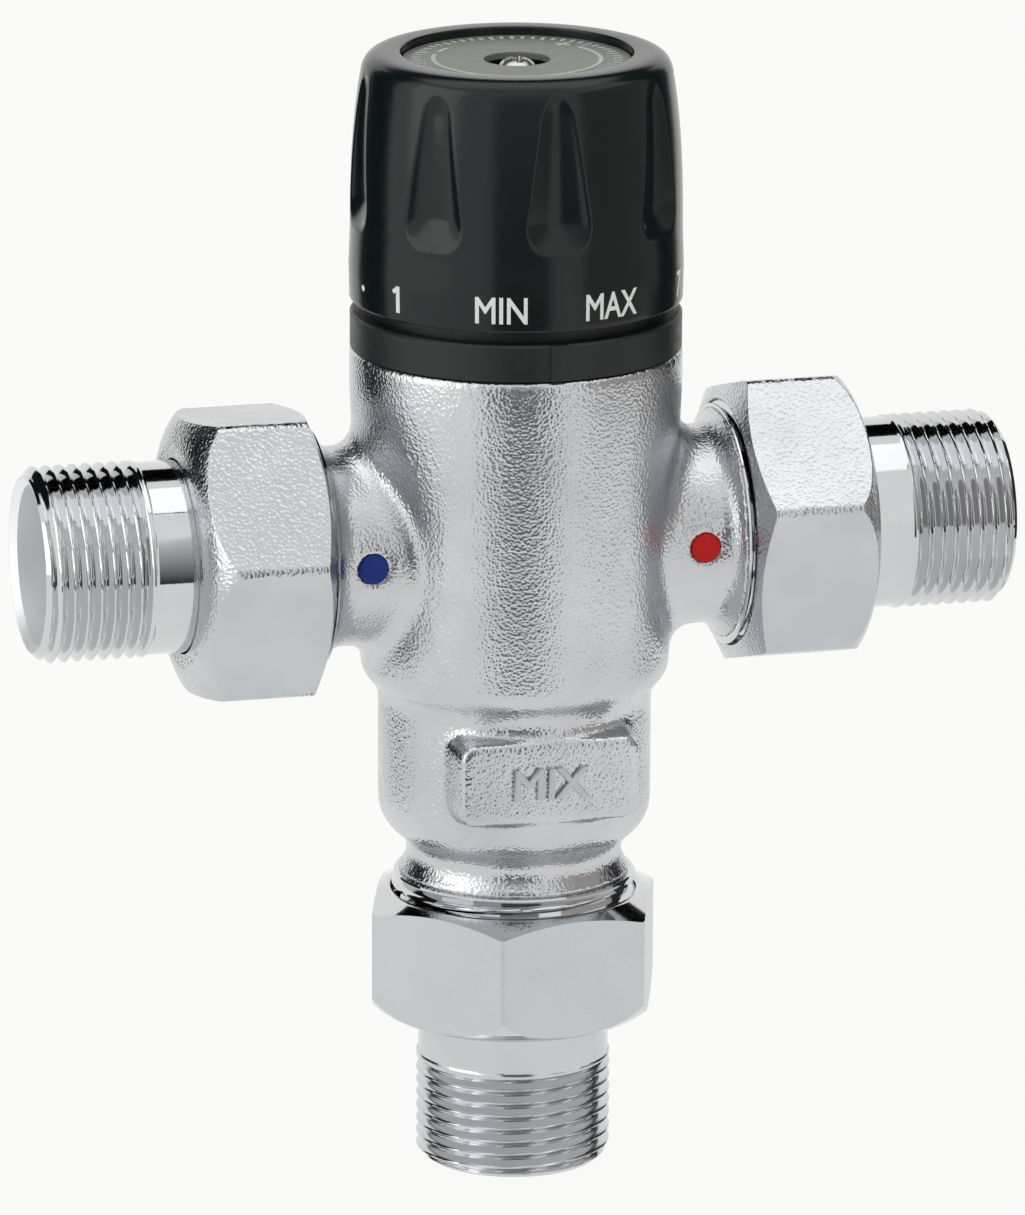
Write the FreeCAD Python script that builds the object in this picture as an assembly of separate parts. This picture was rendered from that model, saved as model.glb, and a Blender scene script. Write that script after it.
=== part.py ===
import FreeCAD, Part
import math
import os

from FreeCAD import Vector

# A thermostatic mixing valve with union ends. Cold water enters on the left, hot water on the
# right, and mixed water leaves below. Millimetres. Z runs up the body's axis from the centre of
# the outlet's end face, the inlets lie along X, and the front is -Y.

# ---- pipe threads, drawn as plain cylinders at their major diameter ----
tail_thread_d = 26.441  # G 3/4
union_thread_d = 33.249  # G 1
union_minor_d = 30.291
thread_gap = 0.05

# ---- how pieces are cut and joined ----
overshoot = 1.0  # how far a cutter runs past the face that it cuts
overlap = 0.5  # how deep a joined shape runs into its neighbour

# ---- clearances ----
slide_gap = 0.05  # a shaft or piston in its bore
seat_gap = 0.02  # faces that meet but may part
drop_in_gap = 0.10  # a piece dropped into its recess

# ---- tailpiece ----
tail_thread_length = 14.8
tail_plain_r = 12.95
tail_bore_r = 10.8
tail_exposed = 20.3  # from the nut's face to the tail's end
tail_chamfer = 1.3
tail_mouth_chamfer = 0.9
collar_thickness = 2.2
collar_thread_gap = 0.15

# ---- union nut ----
nut_af = 37.0
nut_length = 17.8
nut_lip = 3.0
nut_hole_gap = 0.4
nut_face_r = 14.9
nut_outer_round = 4.6
nut_bow_width = 0.62  # where the round's arc passes, as shares of its width and height
nut_bow_height = 0.32
nut_inner_face_r = 18.0
nut_inner_chamfer = 1.9
nut_mouth_chamfer = 0.6
corner_outlet = -18.9  # where one corner points, in degrees from the front
corner_cold = -6.5
corner_hot = 16.5

# ---- gasket ----
gasket_thickness = 1.6
gasket_width = 2.9

# ---- body, outside, from the bottom up ----
inlet_reach = 67.2  # from the body's axis to an inlet tail's end
spigot_thread_outlet = 13.4
spigot_thread_inlet = 11.8
spigot_chamfer = 0.8
outlet_neck_r = 14.6
outlet_neck_flare = 2.3
outlet_neck_length = 1.7
outlet_shoulder = 6.5
shoulder_foot = (0.12, 0.12)  # bends of the shoulder, as shares of its width and height
shoulder_foot_end = (0.34, 0.26)
shoulder_swell = (0.84, 0.60)
step_bend = (0.12, 0.26)  # bends of the step, from each of its ends
waist_r = 18.5
waist_length = 14.2
step_height = 5.1
chest_r = 20.9
inlet_above_step = 16.9
inlet_to_top = 26.6
chest_flare = 1.5  # how much wider the body is at its top than at the foot of the chest
chest_taper_length = 38.5
neck_r = 13.5
neck_flare = 1.0
neck_flare_length = 2.4
neck_flare_foot = 0.3  # share of the flare's length that runs straight
neck_flare_bend = (0.3, 0.75)
neck_blend = 3.2

# ---- pad on the front of the waist ----
pad_face = 19.3  # its distance in front of the axis
pad_width = 24.6
pad_height = 11.3
pad_draft = 1.0
pad_depth = 8.0  # from its face to its root inside the waist
pad_above_waist = 1.1
pad_corner_r = 2.0
pad_edge_r = 0.5

# ---- body, inside ----
outlet_bore_r = 9.6
mixing_bore_r = 12.4
mixing_floor_above_waist = -1.0
hot_chamber_r = 16.0
cold_chamber_r = 17.0
web_thickness = 3.6
inlet_bore_r = 9.5
inlet_bore_wall = 2.0
mouth_wall = 4.2  # round the bonnet's thread
body_thread_length = 9.8

# ---- regulating parts ----
shutter_r = 13.95
shutter_wall = 1.65
shutter_length = 20.0
hot_seat_below_inlet = 11.2
seat_ring_height = 3.0
seat_ring_ledge = 1.15
seat_ring_width = 1.35
shutter_hub_r = 8.4
shutter_hub_height = 2.5
shutter_hub_rise = 6.0
shutter_ring_wall = 2.75
shutter_ring_height = 6.4
spoke_width = 3.0
spoke_count = 4
seal_section = 1.5  # width of an O-ring's section
seal_squeeze = 0.02  # what a seal stays short of the wall it runs on
seal_groove_play = 0.1
shutter_seal_rise = 10.25

# ---- thermostatic element ----
capsule_r = 5.6
capsule_length = 26.5
capsule_end_r = 3.0
element_flange_r = 7.6
element_flange_height = 2.4
element_nose_r = 4.0
element_nose_height = 2.7
element_edge = 0.6
element_hub_gap = 0.2
pin_r = 1.5
pin_depth = 17.0
pin_extension = 1.85

# ---- return spring ----
return_wire = 1.4
return_turns = 6.5
return_wall_gap = 0.35
spring_play = 0.1

# ---- adjusting nut and overtravel unit ----
spindle_thread_r = 5.0
spindle_lead = 2.0  # travel of the adjusting nut in one turn of the knob
knob_turn = 340.0
adjuster_r = 9.0
adjuster_cup_r = 7.6
adjuster_cup_depth = 9.0
adjuster_top_gap = 0.25  # left under the spindle's collar at the end of its travel
adjuster_hex_af = 20.0
adjuster_hex_height = 4.0
adjuster_hex_gap = 0.1
plunger_disc = 1.8
plunger_boss_r = 3.4
plunger_boss_height = 1.8
cup_ring_thickness = 0.8
cup_ring_width = 1.3
cup_ring_rise = 0.6
cup_ring_opening = 3.0
plunger_boss_draft = 0.4
overtravel_wire = 1.2
overtravel_turns = 3.5

# ---- spindle ----
spindle_collar_r = 7.4
spindle_collar = 2.0
spindle_stem_r = 4.9
spindle_thread_length = 12.0
spline_r = 4.1
spline_depth = 0.5
spline_teeth = 16
spline_below_hub = 0.6
circlip_thickness = 1.0
circlip_width = 1.8
circlip_groove = 0.6
circlip_opening = 4.8
spindle_end_chamfer = 0.8
upper_seal_below_top = 6.0
lower_seal_below_top = 12.0

# ---- bonnet ----
bonnet_skirt_wall = 2.7
bonnet_lip = 1.2
bonnet_flange = 3.2
bonnet_stem_r = 9.5
bonnet_stem_root_r = 11.5
bonnet_stem_root = 2.0
bonnet_stem_top = 21.2  # above the body's top
bonnet_roof = 1.2  # how far the hexagon bore's roof lies below the body's top
bonnet_thread_gap = 0.05
bonnet_stem_chamfer = 0.8
bonnet_guide_play = 1.0  # under the adjusting nut's hexagon at its lowest

# ---- indicator ring ----
indicator_height = 4.9
indicator_inset = 0.1  # from the body's skin to the ring's
indicator_wall = 2.2
pointer_rise = 0.2
pointer_width = 2.35
indicator_roof = 1.6
indicator_roof_gap = 0.7  # round the bonnet's stem
indicator_ledge = 2.2  # from the ring's skin to its collar
indicator_collar_wall = 1.6
indicator_collar_height = 3.2
indicator_gap = 0.1
indicator_edge = 0.3
stop_width = 10.0  # degrees taken by the fixed stop
stop_reach = 2.6  # inwards from the ring's collar
stop_clearance = 0.4  # between the collar and the knob's stop

# ---- knob ----
knob_gap = 1.75  # shadow gap between ring and knob
knob_height = 33.4
knob_overhang = 0.1  # of the knob's foot over the ring's skin
knob_dial_flare = 0.1
knob_dial_height = 4.5
knob_dial_taper = 0.5
knob_waist_height = 21.0
knob_side_taper = 1.05
knob_shoulder_height = 30.6
knob_shoulder_round = 2.65
knob_mouth_gap = 0.55  # round the ring's collar
knob_mouth_depth = 4.2
knob_wall = 2.6
knob_wall_draft = 0.4
knob_mouth_ramp = 0.6
knob_roof = 2.6
knob_crown_rim = 2.7
knob_recess = 2.0
knob_hub_r = 7.2
knob_hub_clearance = 1.8  # over the spindle's circlip
knob_hub_web = 1.8  # under the screw's head
knob_hub_end_gap = 0.25  # over the spindle's end
knob_screw_seat = 2.8
knob_rib_thickness = 1.4
knob_rib_height = 8.0
knob_rib_count = 4
knob_stop_width = 9.0
knob_stop_height = 3.0
knob_stop_root = 0.6  # of the stop inside the knob's wall
knob_bow = (0.64, 0.24)  # where the shoulder's arc passes, as shares of its width and height
flute_count = 8
flute_top = 30.8  # heights above the knob's foot
flute_deep = 14.4
flute_end = 10.0
flute_top_width = 3.5
flute_top_depth = 0.75
flute_deep_width = 8.6
flute_deep_depth = 2.0
flute_end_width = 0.55  # share of its deepest part's width
flute_end_depth = 0.30
disc_thickness = 0.9
disc_gap = 0.1
disc_edge = 0.2
disc_hole_r = 4.4
screw_head_r = 3.05
screw_head = 2.4
screw_shank_r = 2.0
screw_length = 10.0
screw_point = 0.4
screw_dome_height = 0.8
screw_dome_width = 0.9
screw_dome_bow = 0.25
screw_hole_gap = 0.25
screw_slot_share = 0.7  # half the cross's length, as a share of the head's radius
screw_slot = 0.9
screw_slot_depth = 1.0

# ---- check valve in each inlet spigot ----
check_r = 11.5
check_length = 13.5
check_wall = 2.3
check_seat_r = 6.6
check_seat_thickness = 1.8
check_seat_inset = 1.0
check_hub_r = 2.8
check_spider = 2.2
check_ribs = 3
check_rib_width = 1.6
check_seal_inset = 6.0
poppet_r = 7.7
poppet_disc = 1.8
poppet_stem_r = 1.5
poppet_travel = 3.0
check_wire = 0.7
check_turns = 4.5
check_spring_r = 3.7

# ---- strainer in each inlet ----
strainer_rim_r = 11.7
strainer_rim_bore = 9.0
strainer_cup_r = 9.0
strainer_cup_end_r = 7.8
strainer_cup_length = 11.0
strainer_wall = 0.6
strainer_slots = 12
strainer_slot_width = 2.6
strainer_slot_end = 1.6

# ---- colour marks on the necks ----
mark_r = 2.0
mark_depth = 1.2
mark_before_thread = 5.3
mark_proud = 0.15

# ---- places worked out from the sizes above ----
union_depth = tail_exposed + nut_lip + collar_thickness + gasket_thickness
adjuster_travel = spindle_lead * knob_turn / 360
nut_hole_r = tail_thread_d / 2 + nut_hole_gap
collar_r = union_minor_d / 2 - collar_thread_gap
spigot_r = union_thread_d / 2

neck_bottom_z = union_depth + spigot_thread_outlet
waist_z = neck_bottom_z + outlet_neck_flare + outlet_neck_length + outlet_shoulder
step_z = waist_z + waist_length
chest_z = step_z + step_height
inlet_z = chest_z + inlet_above_step
top_z = inlet_z + inlet_to_top

mixing_floor_z = waist_z + mixing_floor_above_waist
hot_seat_z = inlet_z - hot_seat_below_inlet
cold_seat_z = hot_seat_z + shutter_length + adjuster_travel + seat_gap
seat_ring_r = mixing_bore_r + seat_ring_ledge
web_low_z = inlet_z - web_thickness / 2
web_high_z = inlet_z + web_thickness / 2
web_r = shutter_r + slide_gap
bonnet_shoulder_z = top_z - body_thread_length

hub_z = hot_seat_z + shutter_hub_rise
hub_top_z = hub_z + shutter_hub_height
nose_top_z = hub_top_z + element_flange_height + element_nose_height
pin_top_z = nose_top_z + pin_extension
ring_inner_r = shutter_r - shutter_ring_wall

plunger_z = pin_top_z + seat_gap
cup_ring_z = plunger_z - cup_ring_thickness - seat_gap
adjuster_z = cup_ring_z - cup_ring_rise
adjuster_web_z = adjuster_z + adjuster_cup_depth

bonnet_roof_z = top_z - bonnet_roof
bonnet_top_z = top_z + bonnet_stem_top
collar_top_z = bonnet_roof_z - seat_gap
collar_z = collar_top_z - spindle_collar
spindle_z = collar_z - spindle_thread_length
adjuster_top_z = collar_z - adjuster_travel - adjuster_top_gap
skirt_bore_r = shutter_r - shutter_wall
circlip_z = bonnet_top_z + 2 * seat_gap

top_r = chest_r + chest_flare
body_thread_r = top_r - mouth_wall
indicator_r = top_r - indicator_inset
indicator_collar_r = indicator_r - indicator_ledge
indicator_roof_bore = bonnet_stem_root_r + indicator_roof_gap
bonnet_flange_r = indicator_r - indicator_wall - indicator_gap

knob_foot_r = indicator_r + knob_overhang
knob_dial_r = knob_foot_r + knob_dial_flare
knob_waist_r = knob_dial_r - knob_dial_taper
knob_shoulder_r = knob_waist_r - knob_side_taper
knob_crown_r = knob_shoulder_r - knob_shoulder_round
knob_recess_r = knob_crown_r - knob_crown_rim
knob_mouth_r = indicator_collar_r + knob_mouth_gap

indicator_top_z = top_z + indicator_height
knob_z = indicator_top_z + knob_gap
knob_top_z = knob_z + knob_height
recess_z = knob_top_z - knob_recess
screw_seat_z = recess_z - knob_screw_seat
spindle_top_z = screw_seat_z - knob_hub_web - knob_hub_end_gap
hub_low_z = circlip_z + circlip_thickness + knob_hub_clearance
ceiling_z = recess_z - knob_roof

inlet_face = inlet_reach - union_depth  # from the body's axis to an inlet spigot's face
check_bore = check_length + drop_in_gap
check_shoulder = inlet_face - check_bore
neck_end = inlet_face - spigot_thread_inlet
mark_x = neck_end - mark_before_thread


# ---- general shapes ----
def profile(points):
    """Closed face in XZ. A pair of pairs is an arc: through its first point to its second."""
    edges = []
    here = points[0]
    for step in points[1:] + points[:1]:
        if isinstance(step[0], tuple):
            middle, there = step
            ends = [Vector(r, 0, z) for r, z in (here, middle, there)]
            edges.append(Part.Arc(*ends).toShape())
        else:
            there = step
            ends = [Vector(r, 0, z) for r, z in (here, there)]
            edges.append(Part.makeLine(*ends))
        here = there
    return Part.Face(Part.Wire(edges))


def turned(points):
    """Solid of revolution about Z from a closed half section."""
    return profile(points).revolve(Vector(0, 0, 0), Vector(0, 0, 1), 360)


def tube(outer, inner, low, high):
    return turned([(inner, low), (outer, low), (outer, high), (inner, high)])


def rod(radius, low, high):
    return Part.makeCylinder(radius, high - low, Vector(0, 0, low))


def block(low, high):
    sides = [b - a for a, b in zip(low, high)]
    return Part.makeBox(*sides, Vector(*low))


def front_angle(degrees):
    """Direction in plan, in degrees from the front, positive towards +X."""
    turn = math.radians(degrees)
    return Vector(math.sin(turn), -math.cos(turn), 0)


def hexagon(across_flats, low, high, corner=0.0):
    reach = across_flats / math.sqrt(3)
    corners = [front_angle(corner + 60 * i) * reach + Vector(0, 0, low) for i in range(7)]
    return Part.Face(Part.makePolygon(corners)).extrude(Vector(0, 0, high - low))


def sector(outer, inner, low, high, middle, width):
    """Part of a tube between two angles from the front."""
    reach = outer * 2
    points = [Vector(0, 0, low)]
    for side in (-0.5, 0.0, 0.5):
        points.append(front_angle(middle + side * width) * reach + Vector(0, 0, low))
    wedge = Part.Face(Part.makePolygon(points + points[:1])).extrude(Vector(0, 0, high - low))
    return tube(outer, inner, low, high).common(wedge)


def turned_copy(shape, degrees):
    copy = shape.copy()
    copy.rotate(Vector(0, 0, 0), Vector(0, 0, 1), degrees)
    return copy


def around(shape, count):
    """The same shape repeated evenly about Z."""
    return [turned_copy(shape, 360 * i / count) for i in range(count)]


def seal(wall_r, middle_z, gap=None):
    """O-ring that runs on a wall of the given radius, drawn with an eight-sided section."""
    outer = wall_r - (seal_squeeze if gap is None else gap)
    half = seal_section / 2
    flat = half * math.tan(math.radians(22.5))
    centre = outer - half
    ring = [(half, -flat), (half, flat), (flat, half), (-flat, half)]
    ring += [(-r, -z) for r, z in ring]
    return turned([(centre + r, middle_z + z) for r, z in ring])


def seal_groove(wall_r, middle_z):
    """What is cut from a shaft so that its O-ring fits."""
    floor = wall_r - seal_squeeze - seal_section - seal_groove_play
    half = seal_section / 2 + seal_groove_play
    return tube(wall_r + overshoot, floor, middle_z - half, middle_z + half)


def coil(mean_r, wire, low, high, turns):
    """Coil spring with a six-sided wire, between two planes."""
    steps = int(turns * 12)
    rise = (high - low - wire) / steps
    path = []
    for i in range(steps + 1):
        path.append(front_angle(30 * i) * mean_r + Vector(0, 0, low + wire / 2 + rise * i))
    reach = wire / 2 / math.cos(math.radians(30))
    section = []
    for i in range(7):
        turn = math.radians(60 * i)
        out = Vector(0, -math.cos(turn) * reach, math.sin(turn) * reach)
        section.append(path[0] + out)
    sweep = Part.BRepOffsetAPI.MakePipeShell(Part.makePolygon(path))
    sweep.setTransitionMode(1)
    sweep.add(Part.makePolygon(section))
    sweep.build()
    sweep.makeSolid()
    return sweep.shape()


def to_inlet(shape, side):
    """Moves a piece made along Z, outer end at z = 0, into the cold (-1) or hot (1) inlet."""
    moved = shape.copy()
    moved.rotate(Vector(0, 0, 0), Vector(0, 1, 0), -90 * side)
    moved.translate(Vector(side * inlet_reach, 0, inlet_z))
    return moved


def from_axis(distance):
    """Height, in an inlet piece made along Z, of a place at that distance from the body's axis."""
    return inlet_reach - distance


# ---- union: tailpiece, nut and gasket, made along Z with the tail's end at z = 0 ----
def tailpiece():
    thread_r = tail_thread_d / 2
    collar_z = tail_exposed + nut_lip
    end_z = collar_z + collar_thickness
    relief = thread_r - tail_plain_r
    return turned([
        (tail_bore_r + tail_mouth_chamfer, 0),
        (thread_r - tail_chamfer, 0),
        (thread_r, tail_chamfer),
        (thread_r, tail_thread_length),
        (tail_plain_r, tail_thread_length + relief),
        (tail_plain_r, collar_z),
        (collar_r, collar_z),
        (collar_r, end_z),
        (tail_bore_r, end_z),
        (tail_bore_r, tail_mouth_chamfer),
    ])


def union_nut(corner):
    outer_z = tail_exposed
    inner_z = outer_z + nut_length
    thread_z = outer_z + nut_lip
    thread_r = union_thread_d / 2 + thread_gap
    corner_r = nut_af / math.sqrt(3)
    drop = nut_outer_round
    middle = (nut_face_r + (corner_r - nut_face_r) * nut_bow_width, outer_z + drop * nut_bow_height)
    envelope = turned([
        (0, outer_z),
        (nut_face_r, outer_z),
        (middle, (corner_r, outer_z + drop)),
        (corner_r, inner_z - nut_inner_chamfer),
        (nut_inner_face_r, inner_z),
        (0, inner_z),
    ])
    hollow = turned([
        (0, outer_z - overshoot),
        (nut_hole_r, outer_z - overshoot),
        (nut_hole_r, thread_z),
        (thread_r, thread_z),
        (thread_r, inner_z - nut_mouth_chamfer),
        (thread_r + nut_mouth_chamfer, inner_z),
        (thread_r + nut_mouth_chamfer, inner_z + overshoot),
        (0, inner_z + overshoot),
    ])
    return hexagon(nut_af, outer_z, inner_z, corner).common(envelope).cut(hollow)


def gasket():
    high = union_depth
    return tube(collar_r, collar_r - gasket_width, high - gasket_thickness, high)


# ---- check valve and strainer, made the same way ----
def check_housing():
    low = from_axis(inlet_face)
    high = low + check_length
    bore_r = check_r - check_wall
    seat_low = low + check_seat_inset
    shell = tube(check_r, bore_r, low, high)
    seat = tube(bore_r + check_wall / 2, check_seat_r, seat_low, seat_low + check_seat_thickness)
    hub = rod(check_hub_r, poppet_back_z() + poppet_travel + seat_gap, high)
    half = check_rib_width / 2
    rib = block((0, -half, high - check_spider), (bore_r + check_wall / 2, half, high))
    housing = shell.multiFuse([seat, hub] + around(rib, check_ribs))
    stem_hole = rod(poppet_stem_r + slide_gap, low, high + overshoot)
    groove = seal_groove(check_r + drop_in_gap, low + check_seal_inset)
    return housing.cut(stem_hole).cut(groove).removeSplitter()


def check_oring():
    return seal(check_r + drop_in_gap, from_axis(inlet_face) + check_seal_inset)


def poppet_seat_z():
    return from_axis(inlet_face) + check_seat_inset + check_seat_thickness + seat_gap


def poppet_back_z():
    return poppet_seat_z() + poppet_disc


def check_poppet():
    low = poppet_seat_z()
    stem_end = from_axis(inlet_face) + check_length - check_spider / 4
    return turned([
        (0, low),
        (poppet_r - poppet_disc / 2, low),
        (poppet_r, low + poppet_disc / 2),
        (poppet_r, poppet_back_z()),
        (poppet_stem_r, poppet_back_z()),
        (poppet_stem_r, stem_end),
        (0, stem_end),
    ])


def check_spring():
    low = poppet_back_z() + seat_gap
    high = from_axis(inlet_face) + check_length - check_spider - seat_gap
    return coil(check_spring_r, check_wire, low, high, check_turns)


def strainer():
    rim_z = union_depth - gasket_thickness + seat_gap
    rim_top = union_depth - seat_gap
    cup_z = rim_z - strainer_cup_length
    rim = tube(strainer_rim_r, strainer_rim_bore - strainer_wall, rim_z, rim_top)
    cup = turned([
        (0, cup_z),
        (strainer_cup_end_r, cup_z),
        (strainer_cup_r, rim_z),
        (strainer_cup_r, rim_top),
        (strainer_cup_r - strainer_wall, rim_top),
        (strainer_cup_r - strainer_wall, rim_z),
        (strainer_cup_end_r - strainer_wall, cup_z + strainer_wall),
        (0, cup_z + strainer_wall),
    ])
    half = strainer_slot_width / 2
    low = cup_z + strainer_slot_end
    high = rim_z - strainer_slot_end
    slot = block((strainer_cup_end_r / 2, -half, low), (strainer_cup_r + overshoot, half, high))
    return rim.fuse(cup).cut(Part.makeCompound(around(slot, strainer_slots)))


# ---- body ----
def body_outside():
    r = spigot_r
    flare_z = neck_bottom_z + outlet_neck_flare
    shoulder_z = flare_z + outlet_neck_length
    rise = waist_r - outlet_neck_r
    foot, foot_end, swell = (
        (outlet_neck_r + rise * across, shoulder_z + outlet_shoulder * along)
        for across, along in (shoulder_foot, shoulder_foot_end, shoulder_swell)
    )
    step = chest_r - waist_r
    in_step, up_step = step * step_bend[0], step_height * step_bend[1]
    mid_step = (waist_r + step / 2, step_z + step_height / 2)
    low_bend = (waist_r + in_step, step_z + up_step)
    high_bend = (chest_r - in_step, chest_z - up_step)
    trunk = turned([
        (0, union_depth),
        (r - spigot_chamfer, union_depth),
        (r, union_depth + spigot_chamfer),
        (r, neck_bottom_z - spigot_chamfer),
        (r - spigot_chamfer, neck_bottom_z),
        (outlet_neck_r, flare_z),
        (outlet_neck_r, shoulder_z),
        (foot, foot_end),
        (swell, (waist_r, waist_z)),
        (waist_r, step_z),
        (low_bend, mid_step),
        (high_bend, (chest_r, chest_z)),
        (top_r, chest_z + chest_taper_length),
        (top_r, top_z),
        (0, top_z),
    ])
    trunk = turned_copy(trunk, 90)  # the seam goes to the back, away from the necks
    necks = [to_inlet(inlet_neck(), side) for side in (-1, 1)]
    body = trunk.multiFuse(necks)
    return round_neck_roots(body)


def inlet_neck():
    """Plain neck from the body's axis out into the threaded spigot."""
    neck = rod(neck_r, from_axis(inlet_face) + spigot_chamfer, from_axis(0))
    return turned_copy(neck, 90)


def round_neck_roots(body):
    """Rounds the edges where the necks grow out of the trunk."""
    edges = []
    for edge in body.Edges:
        box = edge.BoundBox
        round_neck = box.ZLength > neck_r and box.YLength > neck_r
        if round_neck and box.XLength > 1 and abs(box.Center.x) > waist_r / 2:
            edges.append(edge)
    return body.makeFillet(neck_blend, edges)


def inlet_spigot():
    """Flare and threaded end of an inlet neck."""
    face = from_axis(inlet_face)
    end = from_axis(neck_end)
    r = spigot_r
    flare = (neck_r + neck_flare * neck_flare_bend[0], end + neck_flare_length * neck_flare_bend[1])
    return turned([
        (0, face),
        (r - spigot_chamfer, face),
        (r, face + spigot_chamfer),
        (r, end - spigot_chamfer),
        (r - spigot_chamfer, end),
        (neck_r + neck_flare, end + neck_flare_length * neck_flare_foot),
        (flare, (neck_r, end + neck_flare_length)),
        (0, end + neck_flare_length),
    ])


def rounded_rectangle(width, height, corner, y, middle_z):
    """Wire in a plane that faces the front."""
    x, z = width / 2, height / 2
    cx, cz = x - corner, z - corner
    lean = corner * math.sqrt(0.5)
    edges = []
    for sx, sz in ((1, 1), (-1, 1), (-1, -1), (1, -1)):
        upright = Vector(sx * x, y, middle_z + sz * cz)
        level = Vector(sx * cx, y, middle_z + sz * z)
        middle = Vector(sx * (cx + lean), y, middle_z + sz * (cz + lean))
        ends = (upright, level) if sx * sz > 0 else (level, upright)
        edges.append(Part.Arc(ends[0], middle, ends[1]).toShape())
    sides = []
    for i, arc in enumerate(edges):
        start = edges[i - 1].valueAt(edges[i - 1].LastParameter)
        sides += [Part.makeLine(start, arc.valueAt(arc.FirstParameter)), arc]
    return Part.Wire(sides)


def pad():
    """Flat raised pad on the front of the waist, with draft on its sides."""
    middle_z = waist_z + pad_above_waist + pad_height / 2
    face = rounded_rectangle(pad_width, pad_height, pad_corner_r, -pad_face, middle_z)
    root_y = -(pad_face - pad_depth)
    root = rounded_rectangle(
        pad_width + 2 * pad_draft, pad_height + 2 * pad_draft, pad_corner_r + pad_draft, root_y, middle_z
    )
    solid = Part.makeLoft([root, face], True, True)
    rim = [e for e in solid.Edges if e.BoundBox.YMax < 0.01 - pad_face]
    return solid.makeFillet(pad_edge_r, rim)


def body_hollow():
    """Stepped bore, the two chambers and the outlet passage."""
    bore = turned([
        (0, union_depth - overshoot),
        (outlet_bore_r, union_depth - overshoot),
        (outlet_bore_r, mixing_floor_z),
        (mixing_bore_r, mixing_floor_z),
        (mixing_bore_r, hot_seat_z - seat_ring_height),
        (seat_ring_r, hot_seat_z - seat_ring_height),
        (seat_ring_r, hot_seat_z),
        (hot_chamber_r, hot_seat_z),
        (hot_chamber_r, web_low_z),
        (web_r, web_low_z),
        (web_r, web_high_z),
        (cold_chamber_r, web_high_z),
        (cold_chamber_r, bonnet_shoulder_z),
        (body_thread_r, bonnet_shoulder_z),
        (body_thread_r, top_z + overshoot),
        (0, top_z + overshoot),
    ])
    return bore


def inlet_hollow(side):
    """Bore of one inlet. It opens above the web for cold and below it for hot."""
    step = from_axis(check_shoulder)
    blind = from_axis(cold_chamber_r + inlet_bore_wall)
    bore = rod(check_r + drop_in_gap, from_axis(inlet_face) - overshoot, step)
    bore = bore.fuse(rod(inlet_bore_r, step - overshoot, blind))
    bore = to_inlet(bore, side)
    window = to_inlet(rod(inlet_bore_r, blind - overshoot, from_axis(web_r)), side)
    reach = inlet_reach
    if side < 0:
        keep = block((-reach, -reach, web_high_z), (0, reach, top_z))
    else:
        keep = block((0, -reach, 0), (reach, reach, web_low_z))
    return bore.fuse(window.common(keep))


def mark_pocket(side):
    face = neck_r + mark_proud
    low = face - mark_depth
    foot = Vector(side * mark_x, -low, inlet_z)
    return Part.makeCylinder(mark_r + seat_gap, face, foot, Vector(0, -1, 0))


def valve_body():
    body = body_outside()
    body = body.fuse(pad())
    body = body.multiFuse([to_inlet(inlet_spigot(), side) for side in (-1, 1)])
    hollows = [body_hollow()]
    hollows += [inlet_hollow(side) for side in (-1, 1)]
    hollows += [mark_pocket(side) for side in (-1, 1)]
    return body.cut(hollows).removeSplitter()


def colour_mark(side):
    """Coloured plug pressed into the neck's front."""
    face = neck_r + mark_proud
    low = face - mark_depth
    foot = Vector(side * mark_x, -low, inlet_z)
    return Part.makeCylinder(mark_r, mark_depth, foot, Vector(0, -1, 0))


# ---- regulating parts ----
def hot_seat():
    outer = seat_ring_r
    inner = outer - seat_ring_width
    low = hot_seat_z - seat_ring_height
    return turned([
        (inner, low),
        (outer, low),
        (outer, hot_seat_z),
        (inner + seat_ring_width / 3, hot_seat_z),
        (inner, hot_seat_z - seat_ring_width / 3),
    ])


def shutter():
    low = hot_seat_z + seat_gap
    high = low + shutter_length - seat_gap
    inner = shutter_r - shutter_wall
    sleeve = tube(shutter_r, inner, low, high)
    land = tube(inner + shutter_wall / 2, ring_inner_r, hub_z, hub_z + shutter_ring_height)
    hub = rod(shutter_hub_r, hub_z, hub_top_z)
    half = spoke_width / 2
    spoke = block((0, -half, hub_z), (ring_inner_r + shutter_wall / 2, half, hub_top_z))
    whole = sleeve.multiFuse([land, hub] + around(spoke, spoke_count))
    whole = whole.cut(rod(capsule_r + element_hub_gap, hub_z - overshoot, hub_top_z + overshoot))
    return whole.cut(seal_groove(web_r, hot_seat_z + shutter_seal_rise)).removeSplitter()


def thermostatic_element():
    low = hub_top_z - capsule_length
    flange_top = hub_top_z + element_flange_height
    bend = capsule_end_r * (1 - math.sqrt(0.5))
    body = turned([
        (0, low),
        (capsule_r - capsule_end_r, low),
        ((capsule_r - bend, low + bend), (capsule_r, low + capsule_end_r)),
        (capsule_r, hub_top_z),
        (element_flange_r, hub_top_z),
        (element_flange_r, flange_top - element_edge),
        (element_flange_r - element_edge, flange_top),
        (element_nose_r + element_edge, flange_top),
        (element_nose_r, nose_top_z),
        (0, nose_top_z),
    ])
    return body.cut(rod(pin_r + slide_gap, nose_top_z - pin_depth, nose_top_z + overshoot))


def element_pin():
    return rod(pin_r, nose_top_z - pin_depth + seat_gap, pin_top_z)


def return_spring():
    mean_r = mixing_bore_r - return_wall_gap - return_wire / 2 - spring_play
    return coil(mean_r, return_wire, mixing_floor_z + seat_gap, hub_z - seat_gap, return_turns)


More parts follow.
